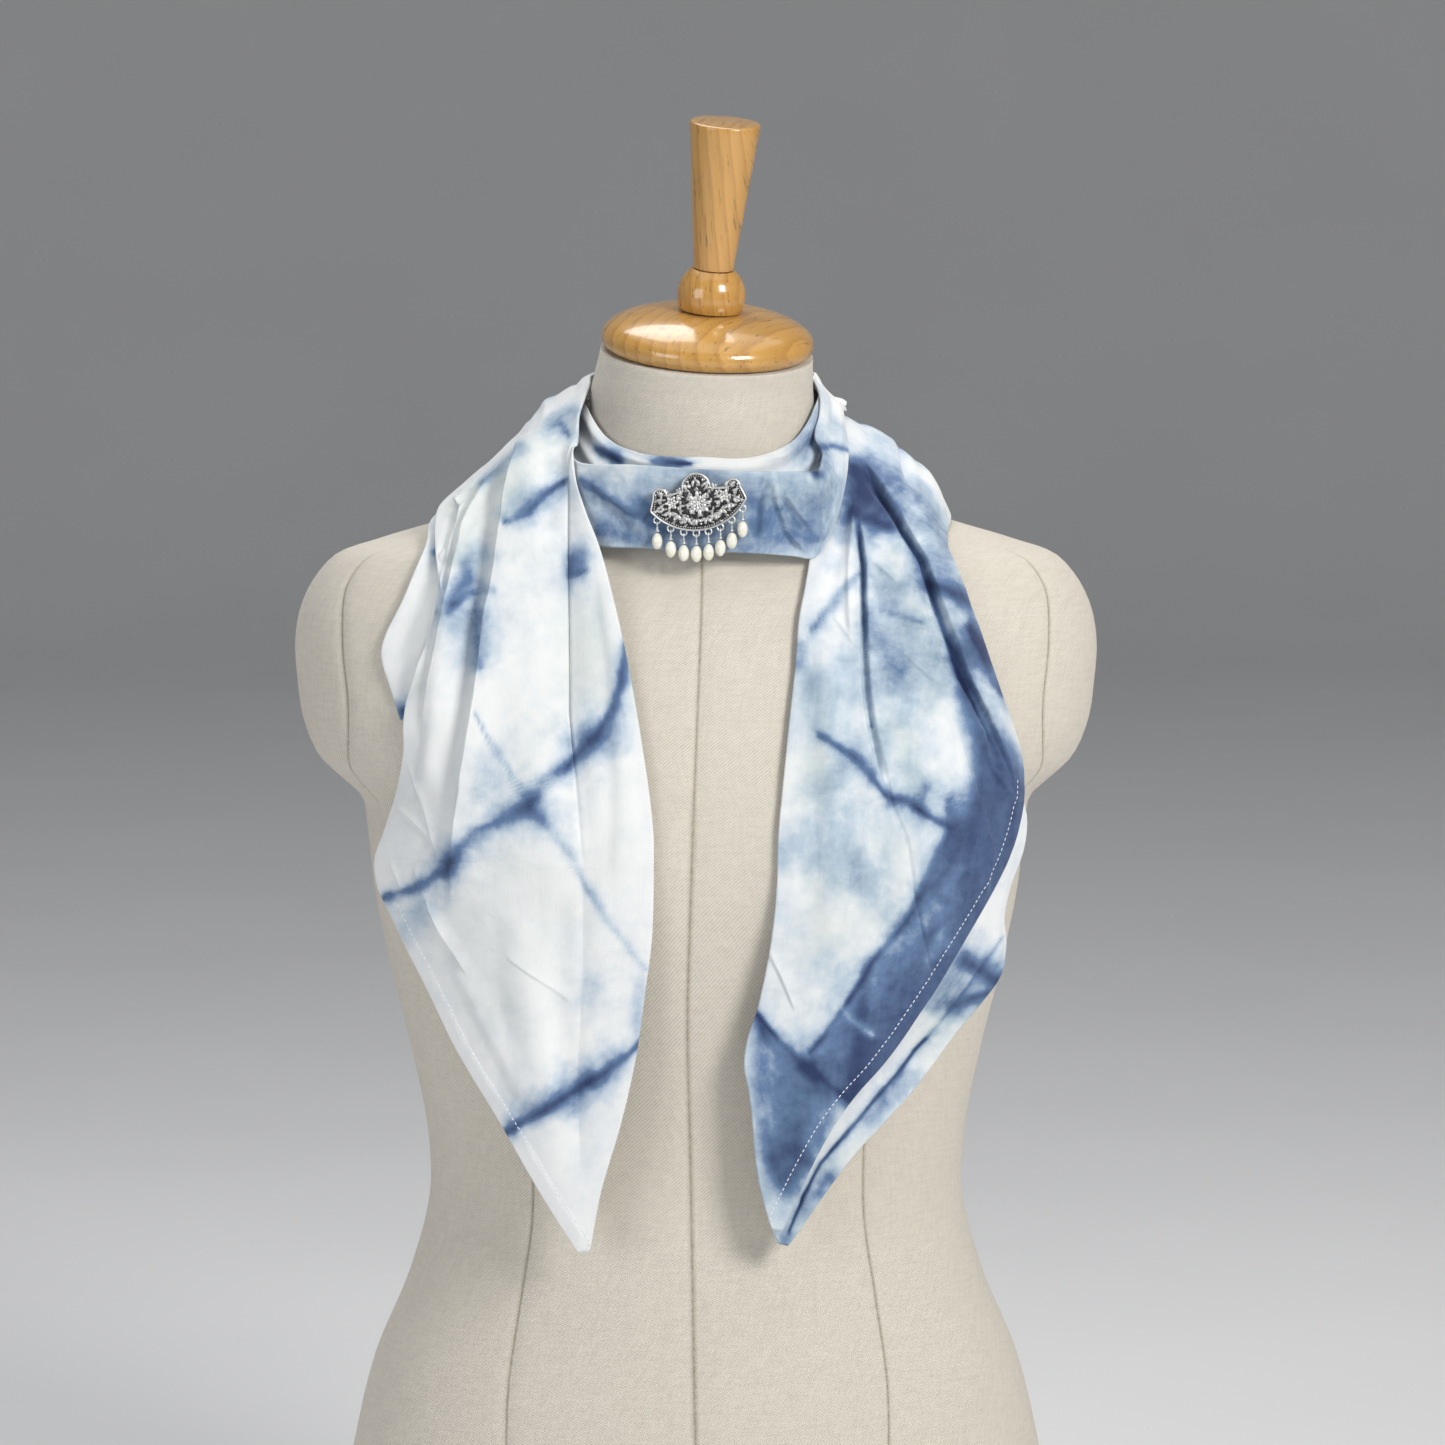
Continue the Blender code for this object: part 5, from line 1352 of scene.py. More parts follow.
def linen_material():
    """Cream linen twill over a padded form, darker in its seams."""
    linen = bpy.context.scene.form_settings.linen_colour
    material, shader = start_material("cream_linen", Roughness=0.9, Sheen_Weight=0.12,
                                      Sheen_Roughness=0.5, Specular_IOR_Level=0.25)
    flat = flat_cloth(material)
    seam = attribute(material, "seam")
    twill = bands_over(material, flat, 26.0, 52, 1.2, 2.0)
    threads = noise_over(material, flat, 55.0, 4.0, 0.7, ((1.0, 0.15, 1.0), (0, 0, 0)))
    cross = noise_over(material, flat, 55.0, 4.0, 0.7, ((0.15, 1.0, 1.0), (0, 0, 0)))
    flecks = noise_over(material, flat, 38.0, 6.0, 0.8)
    broad = noise_over(material, flat, 1.6, 3.0, 0.5)
    shade = sums(material, "ADD", sums(material, "MULTIPLY", twill, 0.30),
                 sums(material, "MULTIPLY", sums(material, "ADD", threads, cross), 0.38))
    shade = sums(material, "MULTIPLY_ADD", flecks, 0.22, shade)
    colour = ramp(material, shade, (0.35, shaded(linen, 0.74)), (0.62, linen),
                  (0.85, shaded(linen, 1.12)))
    colour = mixed(material, sums(material, "MULTIPLY_ADD", broad, 0.5, -0.12), colour,
                   (0.93, 0.91, 0.87), "MULTIPLY")
    broken = noise_over(material, flat, 30.0, 2.0, 0.5)
    line = sums(material, "MULTIPLY", sums(material, "POWER", seam, 1.6),
                sums(material, "MULTIPLY_ADD", broken, 0.8, 0.35))
    colour = mixed(material, line, colour, (0.40, 0.37, 0.31), "MULTIPLY")
    join(material, colour, shader.inputs["Base Color"])
    pucker = noise_over(material, flat, 14.0, 3.0, 0.5, ((0.5, 1.6, 1.0), (0, 0, 0)))
    pucker = sums(material, "MULTIPLY", pucker, seam)
    bumped(material, shader, (twill, 0.3 * MM, 0.35), (threads, 0.3 * MM, 0.4),
           (cross, 0.3 * MM, 0.4), (pucker, 1.2 * MM, 0.6))
    return material


def wood_material(name, lean, turn, stretch, scale):
    """Honey coloured wood, lacquered, its grain in bands with fine pores along it."""
    settings = bpy.context.scene.wood_settings
    material, shader = start_material(name, Roughness=0.24, Coat_Weight=0.7, Coat_Roughness=0.08)
    turned = 0, math.radians(lean), math.radians(turn)
    place = turned_place(material, own_place(material), stretch, turned)
    wander = add_node(material, "ShaderNodeTexNoise", None,
                      {"Vector": place, "Scale": 22.0, "Detail": 3.0}).outputs["Color"]
    moved = add_node(material, "ShaderNodeVectorMath", {"operation": "MULTIPLY_ADD"},
                     {0: wander, 1: (12 * MM,) * 3, 2: place}).outputs["Vector"]
    bands = add_node(
        material, "ShaderNodeTexWave",
        {"wave_type": "BANDS", "bands_direction": "X", "wave_profile": "SAW"},
        {"Vector": moved, "Scale": scale, "Distortion": 2.4, "Detail": 3.0, "Detail Scale": 1.2},
    ).outputs["Fac"]
    pores = noise_over(material, place, 900.0, 3.0, 0.7, ((1.0, 0.09, 0.6), (0, 0, 0)))
    tone = noise_over(material, place, 30.0, 4.0, 0.5)
    light = tuple(settings.light_colour)
    middle = tuple((a + b) / 2 for a, b in zip(light, settings.dark_colour))
    colour = ramp(material, bands, (0.0, light), (0.6, shaded(light, 0.9)), (0.88, middle),
                  (1.0, light))
    colour = mixed(material, sums(material, "MULTIPLY_ADD", tone, 1.2, -0.45), colour, middle)
    pits = ramp(material, pores, (0.30, (0.0, 0.0, 0.0)), (0.42, (1.0, 1.0, 1.0)))
    colour = mixed(material, 0.55, colour, mixed(material, 1.0, colour, pits, "MULTIPLY"))
    join(material, colour, shader.inputs["Base Color"])
    bumped(material, shader, (pores, 0.1 * MM, 0.25))
    return material


def silver_material():
    """Aged silver, dark in its hollows and bright on what stands out."""
    made = bpy.data.materials.get("aged_silver")
    if made is not None:
        return made
    settings = bpy.context.scene.brooch_settings
    material, shader = start_material("aged_silver", Metallic=1.0)
    relief = attribute(material, "relief")
    spots = noise_over(material, own_place(material), 900.0, 5.0, 0.65)
    height = sums(material, "MULTIPLY_ADD", sums(material, "SUBTRACT", spots, 0.5), 0.5, relief)
    silver = settings.silver_colour
    join(material, ramp(material, height, (0.20, settings.patina_colour),
                        (0.44, shaded(silver, 0.5)), (0.74, silver)), shader.inputs["Base Color"])
    rough = sums(material, "MULTIPLY_ADD", height, -0.25, 0.52)
    join(material, rough, shader.inputs["Roughness"])
    bumped(material, shader, (spots, 0.12 * MM, 0.5))
    return material


def pearl_material():
    """Creamy pearl with a soft lustre, and painted shade that darkens its rim as it turns from the
    view.
    """
    made = bpy.data.materials.get("cream_pearl")
    if made is not None:
        return made
    base = bpy.context.scene.brooch_settings.pearl_colour
    material, shader = start_material("cream_pearl", Roughness=0.18, Coat_Weight=0.9,
                                      Coat_Roughness=0.12, Sheen_Weight=0.3, Sheen_Roughness=0.3)
    cloudy = noise_over(material, own_place(material), 420.0, 4.0, 0.55)
    # Painted shade: the colour darkens toward the rim as the surface turns from the view.
    painted_rim_shade = add_node(material, "ShaderNodeLayerWeight", None, {"Blend": 0.35}).outputs["Facing"]
    colour = ramp(material, cloudy, (0.35, shaded(base, 0.88, 0.87, 0.76)), (0.62, base))
    colour = mixed(material, sums(material, "MULTIPLY", painted_rim_shade, 0.6), colour, (0.50, 0.48, 0.37))
    join(material, colour, shader.inputs["Base Color"])
    bumped(material, shader, (cloudy, 0.3 * MM, 0.35))
    return material


def plain_material(name, scale, detail, roughness, dark, light, **values):
    """A plain colour with soft spots in it, and the spots' height."""
    material, shader = start_material(name, **values)
    spots = noise_over(material, own_place(material), scale, detail, roughness)
    join(material, ramp(material, spots, (0.3, dark), (0.7, light)), shader.inputs["Base Color"])
    return material, shader, spots


# Stretches of cloth

def roll_rings(edge, inner, out, radius):
    """Rows or columns of points that turn in under the cloth from its edge."""
    side = edge - inner
    side /= np.maximum(np.linalg.norm(side, axis=1), TINY)[:, None]
    turns = [ROLL_TURN * step / ROLL_STEPS for step in range(1, ROLL_STEPS + 1)]
    return [edge + radius * (side * math.sin(turn) - out * (1 - math.cos(turn))) for turn in turns]


def rolled_edges(points, out, radius):
    """Add the folded edges' roll: extra columns that turn in under the cloth."""
    first, last = [roll_rings(points[:, edge], points[:, inner], out[:, edge], radius[:, None])
                   for edge, inner in ((0, 1), (-1, -2))]
    return np.stack(first[::-1] + list(points.swapaxes(0, 1)) + last, axis=1)


def node_tree_of(name):
    """The CAD node's own surface, as cloth rests on it."""
    bm = bmesh.new()
    bm.from_mesh(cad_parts[name].data)
    tree = BVHTree.FromBMesh(bm)
    bm.free()
    return tree


def spread_dye_and_shade(points, flat, haze, dye_and_shade, areas=(), light=(), rinse_and_shade=(), back_dye=()):
    """Blue, rinse tint and painted shade at each point, from the front view's marks and the hidden
    sides' own.
    """
    view = view_places(points)
    warp = np.stack([cloud(view, 26, 1) + 0.4 * cloud(view, 9, 3),
                     cloud(view, 26, 2) + 0.4 * cloud(view, 9, 4)], axis=-1)
    view = view + warp * 1.3
    bent = flat + np.stack([cloud(flat, 18, 7), cloud(flat, 18, 8)], axis=-1) * 2.4
    seen = seen_share(points)
    # Front marks: dye, with painted shade in some of them.
    front = 1 - (1 - mark_strength(view, dye_and_shade)) * (1 - within(view, areas))
    for mark in light:
        front *= 1 - mark_strength(view, (mark,))
    dye_and_shade_share = front * seen + mark_strength(bent, back_dye) * (1 - seen)
    haze = haze * (0.5 + 0.6 * cloud(flat, 34, 11) + 0.4 * cloud(flat, 13, 12))
    dye_and_shade_share = 1 - (1 - dye_and_shade_share) * (1 - np.clip(haze, 0, 1))
    # On the front, painted shade and a rinse tint; on the hidden sides, a rinse tint that varies at
    # random.
    rinse_and_shade_share = mark_strength(view, rinse_and_shade) * seen + 0.35 * np.clip(cloud(flat, 45, 14), 0, 1) * (1 - seen)
    return {"dye_and_shade": np.clip(dye_and_shade_share, 0, 1), "rinse_and_shade": np.clip(rinse_and_shade_share, 0, 1)}


def hem_lift(inward, span, hem_width):
    """The hem's turned band and its stitched groove, along edge b over a span of rows."""
    share = np.linspace(0, 1, len(inward))[:, None]
    on = np.clip((share - span[0]) / HEM_ENDS, 0, 1) * np.clip((span[1] - share) / HEM_ENDS, 0, 1)
    band = np.clip((hem_width - inward) / STITCH_INSET, 0, 1)
    groove = np.exp(-((inward - hem_width + STITCH_INSET) / GROOVE_HALF) ** 2)
    return (HEM_RISE * band - HEM_GROOVE * groove) * on * MM


def build_stretch(name, shape, fine, over, folds=(), back_folds=(), hem=None, roll=0.9,
                  closed=False, calm=None, sunk=0.0, **look):
    """One stretch of scarf: the CAD's surface made fine, folded, settled, dyed and thickened."""
    settings = bpy.context.scene.scarf_settings
    rows, columns = fine
    hand = shape[-1]
    coarse = settle(*cloth_grid(*shape), [node_tree_of(node) for node in over], closed)
    surface = smooth_surface(coarse, rows, closed)
    if calm:
        surface = smooth_surface(calmed(surface[0][:, ::CALM_STEP], *calm), rows, closed)
    shares = np.repeat(np.linspace(0, 1, columns + 1)[None], rows + 1, axis=0)
    if not closed:
        shares = crowded_shares(read_surface(surface, shares), folds, shares)
    points = read_surface(surface, shares)
    if sunk:
        near = np.clip(1 - flat_places(points)[:, :1, 1] / NARROW_REACH, 0, 1)
        points = read_surface(surface, shares * (1 - START_NARROW * eased(near)))
    out = evened(ways_out(points, hand, closed), closed)
    flat = flat_places(points)
    width = flat[:, -1, 0]
    inward = width[:, None] - flat[..., 0]
    near_edge = np.minimum(flat[..., 0], inward)
    seen = seen_share(points)
    lift = fold_lift(view_places(points), folds, VIEW_POINT / MM) * seen
    lift += fold_lift(flat, back_folds, 1.0) * (1 - seen)
    if not closed:
        crumple = sum(height * cloud(flat * (1, along), size, seed)
                      for height, along, size, seed in CRUMPLES)
        lift += crumple * MM * np.clip(near_edge / CRUMPLE_EDGE, 0, 1)
    if hem:
        lift += hem_lift(inward, hem, settings.hem_width / MM)
    start = np.clip(1 - flat[..., 1] / START_REACH, 0, 1)
    lift -= sunk * MM * eased(start)
    points = moved_out(points, out, lift, closed)
    radius = np.minimum(roll * MM, width * MM * ROLL_SHARE)
    room = settings.cloth_thickness + CLOTH_GAP
    edge_room = EDGE_ROOM * radius[:, None] * np.clip(1 - near_edge / EDGE_REACH, 0, 1)
    under = [CLOTH[node]["tree"] for node in over]
    lifts = grown(lifts_over(points, out, under, LIFT_REACH, room + edge_room), 4, 5)
    if sunk:
        lifts = lifts + (np.maximum(grown(lifts, 6, 26), lifts) - lifts) * start
    points = moved_out(points, out, lifts, closed)
    CLOTH[name] = {"points": points, "out": out, "inward": inward}
    if sunk:
        rings = roll_rings(points[0], points[1], out[0], START_ROLL * MM)
        points = np.concatenate([np.stack(rings[::-1]), points])
        out = np.concatenate([np.repeat(out[:1], ROLL_STEPS, axis=0), out])
        radius = np.concatenate([np.repeat(radius[:1], ROLL_STEPS), radius])
    if not closed:
        points = rolled_edges(points, out, radius)
    flat = flat_places(points)
    bm = grid_of(points, spread_dye_and_shade(points, flat, **look), flat)
    if closed:
        bmesh.ops.remove_doubles(bm, verts=bm.verts, dist=WELD)
    if hand < 0:
        bmesh.ops.reverse_faces(bm, faces=bm.faces)
    CLOTH[name]["tree"] = BVHTree.FromBMesh(bm)
    piece = add_piece(name + "_cloth", bm, "stand", (name,), cotton_material(), False)
    wall = piece.modifiers.new("two layers", "SOLIDIFY")
    wall.thickness = settings.cloth_thickness
    wall.offset = -1.0
    wall.use_even_offset = False


def build_stretches(*names):
    """Stretches of the scarf, each over those before it."""
    for name in names:
        build_stretch(name, **STRETCHES[name])


# Dress form

def form_ring_columns(height, half_width, front, back, squareness):
    """Angles round one level section: bundles at each seam and even steps between them."""
    anchors = []
    for side, seams in FORM_SEAMS.items():
        for seam in seams:
            heights, places, depths = np.array(seam, float).T
            near = height / MM + np.linspace(-SEAM_ROUND, SEAM_ROUND, 9)
            place = np.interp(near, heights, places).mean()
            cosine = math.copysign(abs(place) ** (squareness / 2), place)
            anchors.append((-side * math.acos(max(-1.0, min(1.0, cosine))),
                            np.interp(height / MM, heights, depths)))
    columns = []
    followers = [angle for angle, _ in anchors[1:]] + [anchors[0][0] + 2 * math.pi]
    for (angle, depth), following in zip(anchors, followers):
        speed = math.hypot(half_width * math.sin(angle), max(front, back) * math.cos(angle))
        for offset in SEAM_OFFSETS:
            columns.append((angle + offset * MM / max(speed, 1 * MM),
                            depth * max(0.0, 1 - abs(offset) / SEAM_HALF)))
        for step in range(1, FINE_FORM_SIDES):
            columns.append((angle + (following - angle) * step / FINE_FORM_SIDES, 0.0))
    return np.array(sorted(columns, key=lambda column: column[0])).T


def form_point(angle, height, shift_x, shift_y, half_width, front, back, squareness):
    """A point of the form's level section at an angle, with the two soft bust mounds."""
    cosine = math.cos(angle)
    sine = math.sin(angle)
    x = math.copysign(abs(cosine) ** (2 / squareness), cosine) * half_width
    depth = front if sine < 0 else back
    y = math.copysign(abs(sine) ** (2 / squareness), sine) * depth
    if sine < 0:
        level = math.exp(-((height - BUST_HEIGHT) / BUST_SPREAD) ** 2)
        mounds = sum(math.exp(-((x - side) / BUST_SPREAD) ** 2) for side in (BUST_SIDE, -BUST_SIDE))
        y -= BUST_RISE * level * mounds * min(1.0, -sine * 2)
    return x + shift_x, y + shift_y, height


def cap_matrix(lean, rise=0.0):
    """Place of a turned piece: forward with the neck, leaning to one side."""
    turn = Matrix.Rotation(CAP_FORWARD, 4, "X") @ Matrix.Rotation(lean, 4, "Y")
    return Matrix.Translation(CAP_PLACE) @ turn @ Matrix.Translation((0, 0, rise))


def circle(radius, angle):
    """Both parts of a point on a circle."""
    return radius * math.cos(angle), radius * math.sin(angle)


def whole_turn(steps):
    """Angles at even steps round a circle."""
    return [2 * math.pi * step / steps for step in range(steps)]


def build_form():
    """The padded form with its seams drawn in, from its underside to the top of its neck."""
    settings = bpy.context.scene.form_settings
    table = np.array(FORM_SECTIONS, float)
    table[:, :-1] *= MM
    knots = run_along(table[:, (0, 3)])
    rings = []
    seams = []
    for row in through_rows(table, knots, np.linspace(0, knots[-1], FINE_FORM_RINGS)):
        angles, depths = form_ring_columns(row[0], *row[3:])
        rings.append(np.array([form_point(angle, *row) for angle in angles]))
        seams.append(depths)
    neck_top = cap_matrix(DISC_LEAN, -DISC_UNDER - GAP)
    top = np.array([neck_top @ Vector((*circle(NECK_TOP_RADIUS, angle), 0)) for angle in angles])
    last = rings[-1]
    for step in range(1, NECK_STEPS + 1):
        rings.append(last + (top - last) * step / NECK_STEPS)
        seams.append(np.zeros(len(angles)))
    points, seams = [np.concatenate([part, part[:, :1]], axis=1)
                     for part in (np.array(rings), np.array(seams))]
    out = ways_out(points, -1)
    if np.sum(out * (points - points.mean(axis=1, keepdims=True))) < 0:
        out = -out
    points = points - out * (seams * settings.seam_depth)[:, :, None]
    points[0, :, 2] = 0.0
    points[:, -1] = points[:, 0]
    bm = grid_of(points, {"seam": seams}, flat_places(points))
    bmesh.ops.remove_doubles(bm, verts=bm.verts, dist=WELD)
    ends = [edge for edge in bm.edges if edge.is_boundary]
    bmesh.ops.holes_fill(bm, edges=ends, sides=0)
    bmesh.ops.recalc_face_normals(bm, faces=bm.faces)
    for face in bm.faces:
        face.smooth = len(face.verts) < 5
    CLOTH["form_body"] = {"tree": BVHTree.FromBMesh(bm)}
    add_piece("form_cover", bm, "stand", ("form_body",), linen_material(), False)


def turned_piece(name, profile, lean, node, material):
    """Spin a fine profile of radius and height about the cap's axis."""
    bm = bmesh.new()
    spun(bm, profile, 96)
    closed_up(bm)
    bmesh.ops.transform(bm, matrix=cap_matrix(lean), verts=bm.verts)
    add_piece(name, bm, "stand", (node,), material, sharp=32)


def build_wood():
    """The turned cap, ball and finial, finer and with eased edges."""
    seat = math.sqrt(BALL_RADIUS ** 2 - (BALL_RISE - BALL_FOOT) ** 2)
    rise = BALL_FOOT - BALL_GAP
    disc = [(0, -DISC_UNDER), (DISC_RADIUS * DISC_FLAT_SHARE, -DISC_UNDER)]
    for step in range(1, 12):
        under, across = circle(1, math.pi / 2 * step / 12)
        disc.append((DISC_RADIUS * (DISC_FLAT_SHARE + (1 - DISC_FLAT_SHARE) * across),
                     -DISC_UNDER * under))
    for step in range(28):
        across, up = circle(1, math.pi / 2 * step / 28)
        disc.append((seat + (DISC_RADIUS - seat) * across, rise * up))
    disc += [(seat, rise), (0, rise)]
    top = FINIAL_FOOT - GAP
    heights = [BALL_FOOT + (top - BALL_FOOT) * step / 24 for step in range(25)]
    ball = [(math.sqrt(BALL_RADIUS ** 2 - (height - BALL_RISE) ** 2), height) for height in heights]
    ball = [(0, BALL_FOOT)] + ball + [(0, top)]
    finial = [(0, FINIAL_FOOT), (FINIAL_FOOT_RADIUS - FINIAL_FOOT_EASE, FINIAL_FOOT),
              (FINIAL_FOOT_RADIUS, FINIAL_FOOT + FINIAL_FOOT_EASE)]
    for share in [step / 12 for step in range(1, 12)]:
        finial.append((FINIAL_FOOT_RADIUS + (FINIAL_HEAD_RADIUS - FINIAL_FOOT_RADIUS) * share,
                       FINIAL_FOOT + (FINIAL_HEAD - FINIAL_EASE - FINIAL_FOOT) * share))
    for step in range(6):
        across, up = circle(FINIAL_EASE, math.pi / 2 * step / 5)
        finial.append((FINIAL_HEAD_RADIUS - FINIAL_EASE + across, FINIAL_HEAD - FINIAL_EASE + up))
    finial.append((0, FINIAL_HEAD))
    for name, profile, lean, node, grain in (
        ("wood_cap", disc, DISC_LEAN, "neck_cap", ("disc_wood", 0, 58, (1, 0.35, 0.6), 58.0)),
        ("wood_ball", ball, FINIAL_LEAN, "cap_ball", ("ball_wood", 0, 15, (1, 0.8, 0.3), 62.0)),
        ("wood_finial", finial, FINIAL_LEAN, "cap_finial",
         ("finial_wood", 5, 20, (1, 0.7, 0.10), 66.0)),
    ):
        turned_piece(name, profile, lean, node, wood_material(*grain))


# Hems

def stitch_run(bm, name, span):
    """A row of short raised stitches along a stretch's edge b, over a span of its rows."""
    if name not in CLOTH:
        raise RuntimeError("build the cloth before its stitches: " + name)
    settings = bpy.context.scene.scarf_settings
    inset = settings.hem_width - STITCH_INSET * MM
    rows = len(CLOTH[name]["points"])
    path = []
    for row in range(round(span[0] * (rows - 1)), round(span[1] * (rows - 1)) + 1):
        points, out, inward = [CLOTH[name][key][row, ::-1] for key in ("points", "out", "inward")]
        path.append(read_path(np.hstack([points, out]), inward * MM, inset))
    path = np.array(path)
    run = run_along(path[:, :3])
    for number in range(int(run[-1] / settings.stitch_pitch)):
        middle = (number + 0.5) * settings.stitch_pitch
        a, b = [Vector(read_path(path[:, :3], run, middle + half * settings.stitch_length))
                for half in (-0.5, 0.5)]
        way = Vector(read_path(path[:, 3:], run, middle)).normalized()
        along = (b - a).normalized()
        turn = Matrix((along, along.cross(way).normalized(), way)).transposed().to_4x4()
        size = Matrix.Diagonal(((b - a).length / 2, *STITCH_SIZE, 1))
        place = Matrix.Translation((a + b) / 2 + way * STITCH_LIFT)
        bmesh.ops.create_icosphere(bm, subdivisions=1, radius=1.0, matrix=place @ turn @ size)


def build_stitches():
    """White stitches along the hems."""
    bm = bmesh.new()
    for name, span in HEM_SPANS:
        stitch_run(bm, name, span)
    material, shader, fuzz = plain_material(
        "white_thread", 1500.0, 3.0, 0.6, (0.74, 0.77, 0.82), (0.92, 0.93, 0.95),
        Roughness=0.7, Sheen_Weight=0.2)
    bumped(material, shader, (fuzz, 0.1 * MM, 0.5))
    add_piece("hem_stitches", bm, "stand", (), material)


# Brooch and drops

def brooch_place():
    """The plate's own plane, at the place of the CAD plate's back."""
    back_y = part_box("brooch_plate")[1][1]
    turn = Matrix.Rotation(-BROOCH_TILT, 4, "Y")
    return Matrix.Translation((BROOCH_X, back_y, BROOCH_Z)) @ turn


def plate_outline(inset=0.0):
    """Fan outline: the lower arc from left to right, then three lobes back along the top."""
    half_angle = math.asin(PLATE_HALF_WIDTH / ARC_RADIUS) - inset / ARC_RADIUS
    outline = []
    for step in range(41):
        z, x = circle(ARC_RADIUS - inset, -half_angle + 2 * half_angle * step / 40)
        outline.append((x, ARC_RADIUS - PLATE_ARC_DROP - z))
    for centre_x, centre_z, radius in PLATE_TOP:
        for step in range(15):
            x, z = circle(radius - inset / MM, math.radians(-10 + 200 * step / 14))
            outline.append(((centre_x + x) * MM, (centre_z + z) * MM))
    return outline


def even_path(path, pitch):
    """Points at an even pitch round a closed path."""
    points = np.array(path + path[:1])
    run = run_along(points)
    count = max(2, round(run[-1] / pitch))
    return [read_path(points, run, place) for place in np.linspace(0, run[-1], count, False)]


def tube(bm, path, radius, sides=8, closed=False):
    """A round wire along a path of 3-D points."""
    rings = []
    count = len(path)
    for index, point in enumerate(path):
        before = path[index - 1] if index or closed else point
        after = path[(index + 1) % count] if index < count - 1 or closed else point
        turn = (after - before).to_track_quat("Z", "Y").to_matrix().to_4x4()
        ring = bmesh.ops.create_circle(bm, segments=sides, radius=radius, cap_ends=False,
                                       matrix=Matrix.Translation(point) @ turn)
        rings.append(list({edge for vert in ring["verts"] for edge in vert.link_edges}))
    for first, second in list(zip(rings, rings[1:])) + [(rings[-1], rings[0])] * closed:
        bmesh.ops.bridge_loops(bm, edges=first + second)
    if not closed:
        for ring in (rings[0], rings[-1]):
            bmesh.ops.edgeloop_fill(bm, edges=ring)


def bead(bm, place, x, lift, z, radius, subdivisions=2):
    """A small ball, its centre lifted off the plate's front."""
    spot = Matrix.Translation((x, -PLATE_THICKNESS - lift, z))
    bmesh.ops.create_icosphere(bm, subdivisions=subdivisions, radius=radius, matrix=place @ spot)


def petal(bm, place, x, z, direction, length, width, height, notch):
    """A leaf or petal with a raised rim and a mid rib, lying on the plate's front."""
    shape = bmesh.ops.create_uvsphere(bm, u_segments=12, v_segments=7, radius=1.0)
    for vert in shape["verts"]:
        t = (vert.co.x + 1) / 2
        narrow = math.sin(math.pi * min(1.0, t * 0.92 + 0.04)) ** 0.55
        dip = notch * math.exp(-(vert.co.z / 0.28) ** 2) if vert.co.y < 0 else 0.0
        lift = vert.co.y * (1 - dip) * (0.75 + 0.5 * t)
        vert.co = Vector((t * length, lift * height, vert.co.z * narrow * width / 2))
    spot = place @ Matrix.Translation((x, -PLATE_THICKNESS, z))
    turn = Matrix.Rotation(direction, 4, "Y")
    bmesh.ops.transform(bm, matrix=spot @ turn, verts=shape["verts"])


def rosette(bm, place, x, z, radius, petals, height):
    """A flower of two rings of petals round a beaded eye."""
    for ring, (inner, outer, share) in enumerate(((0.30, 1.0, 1.0), (0.12, 0.66, 1.35))):
        for number in range(petals):
            angle = 2 * math.pi * (number + ring / 2) / petals
            across, up = circle(radius * inner, angle)
            petal(bm, place, x + across, z + up, -angle, radius * (outer - inner),
                  radius * 1.9 / petals * (1.25 - 0.2 * ring), height * share, 0.35)
    for angle in whole_turn(6):
        across, up = circle(radius * 0.14, angle)
        bead(bm, place, x + across, height * 1.35, z + up, radius * 0.075)
    bead(bm, place, x, height * 1.5, z, radius * 0.10)


def finish_silver(name, bm, nodes, place, rings_from=None):
    """Turn a bmesh into a silver piece with its relief height as an attribute.

    Corners from the number rings_from on belong to the rings, which are worn bright."""
    bmesh.ops.recalc_face_normals(bm, faces=bm.faces)
    layer = bm.verts.layers.float.new("relief")
    back = place.inverted()
    for number, vert in enumerate(bm.verts):
        depth = -(back @ vert.co).y - PLATE_THICKNESS
        vert[layer] = max(0.0, min(1.0, depth / RELIEF_DEPTH + 0.2))
        if rings_from is not None and number >= rings_from:
            vert[layer] = RING_SHINE
    add_piece(name, bm, "stand", nodes, silver_material(), sharp=50)


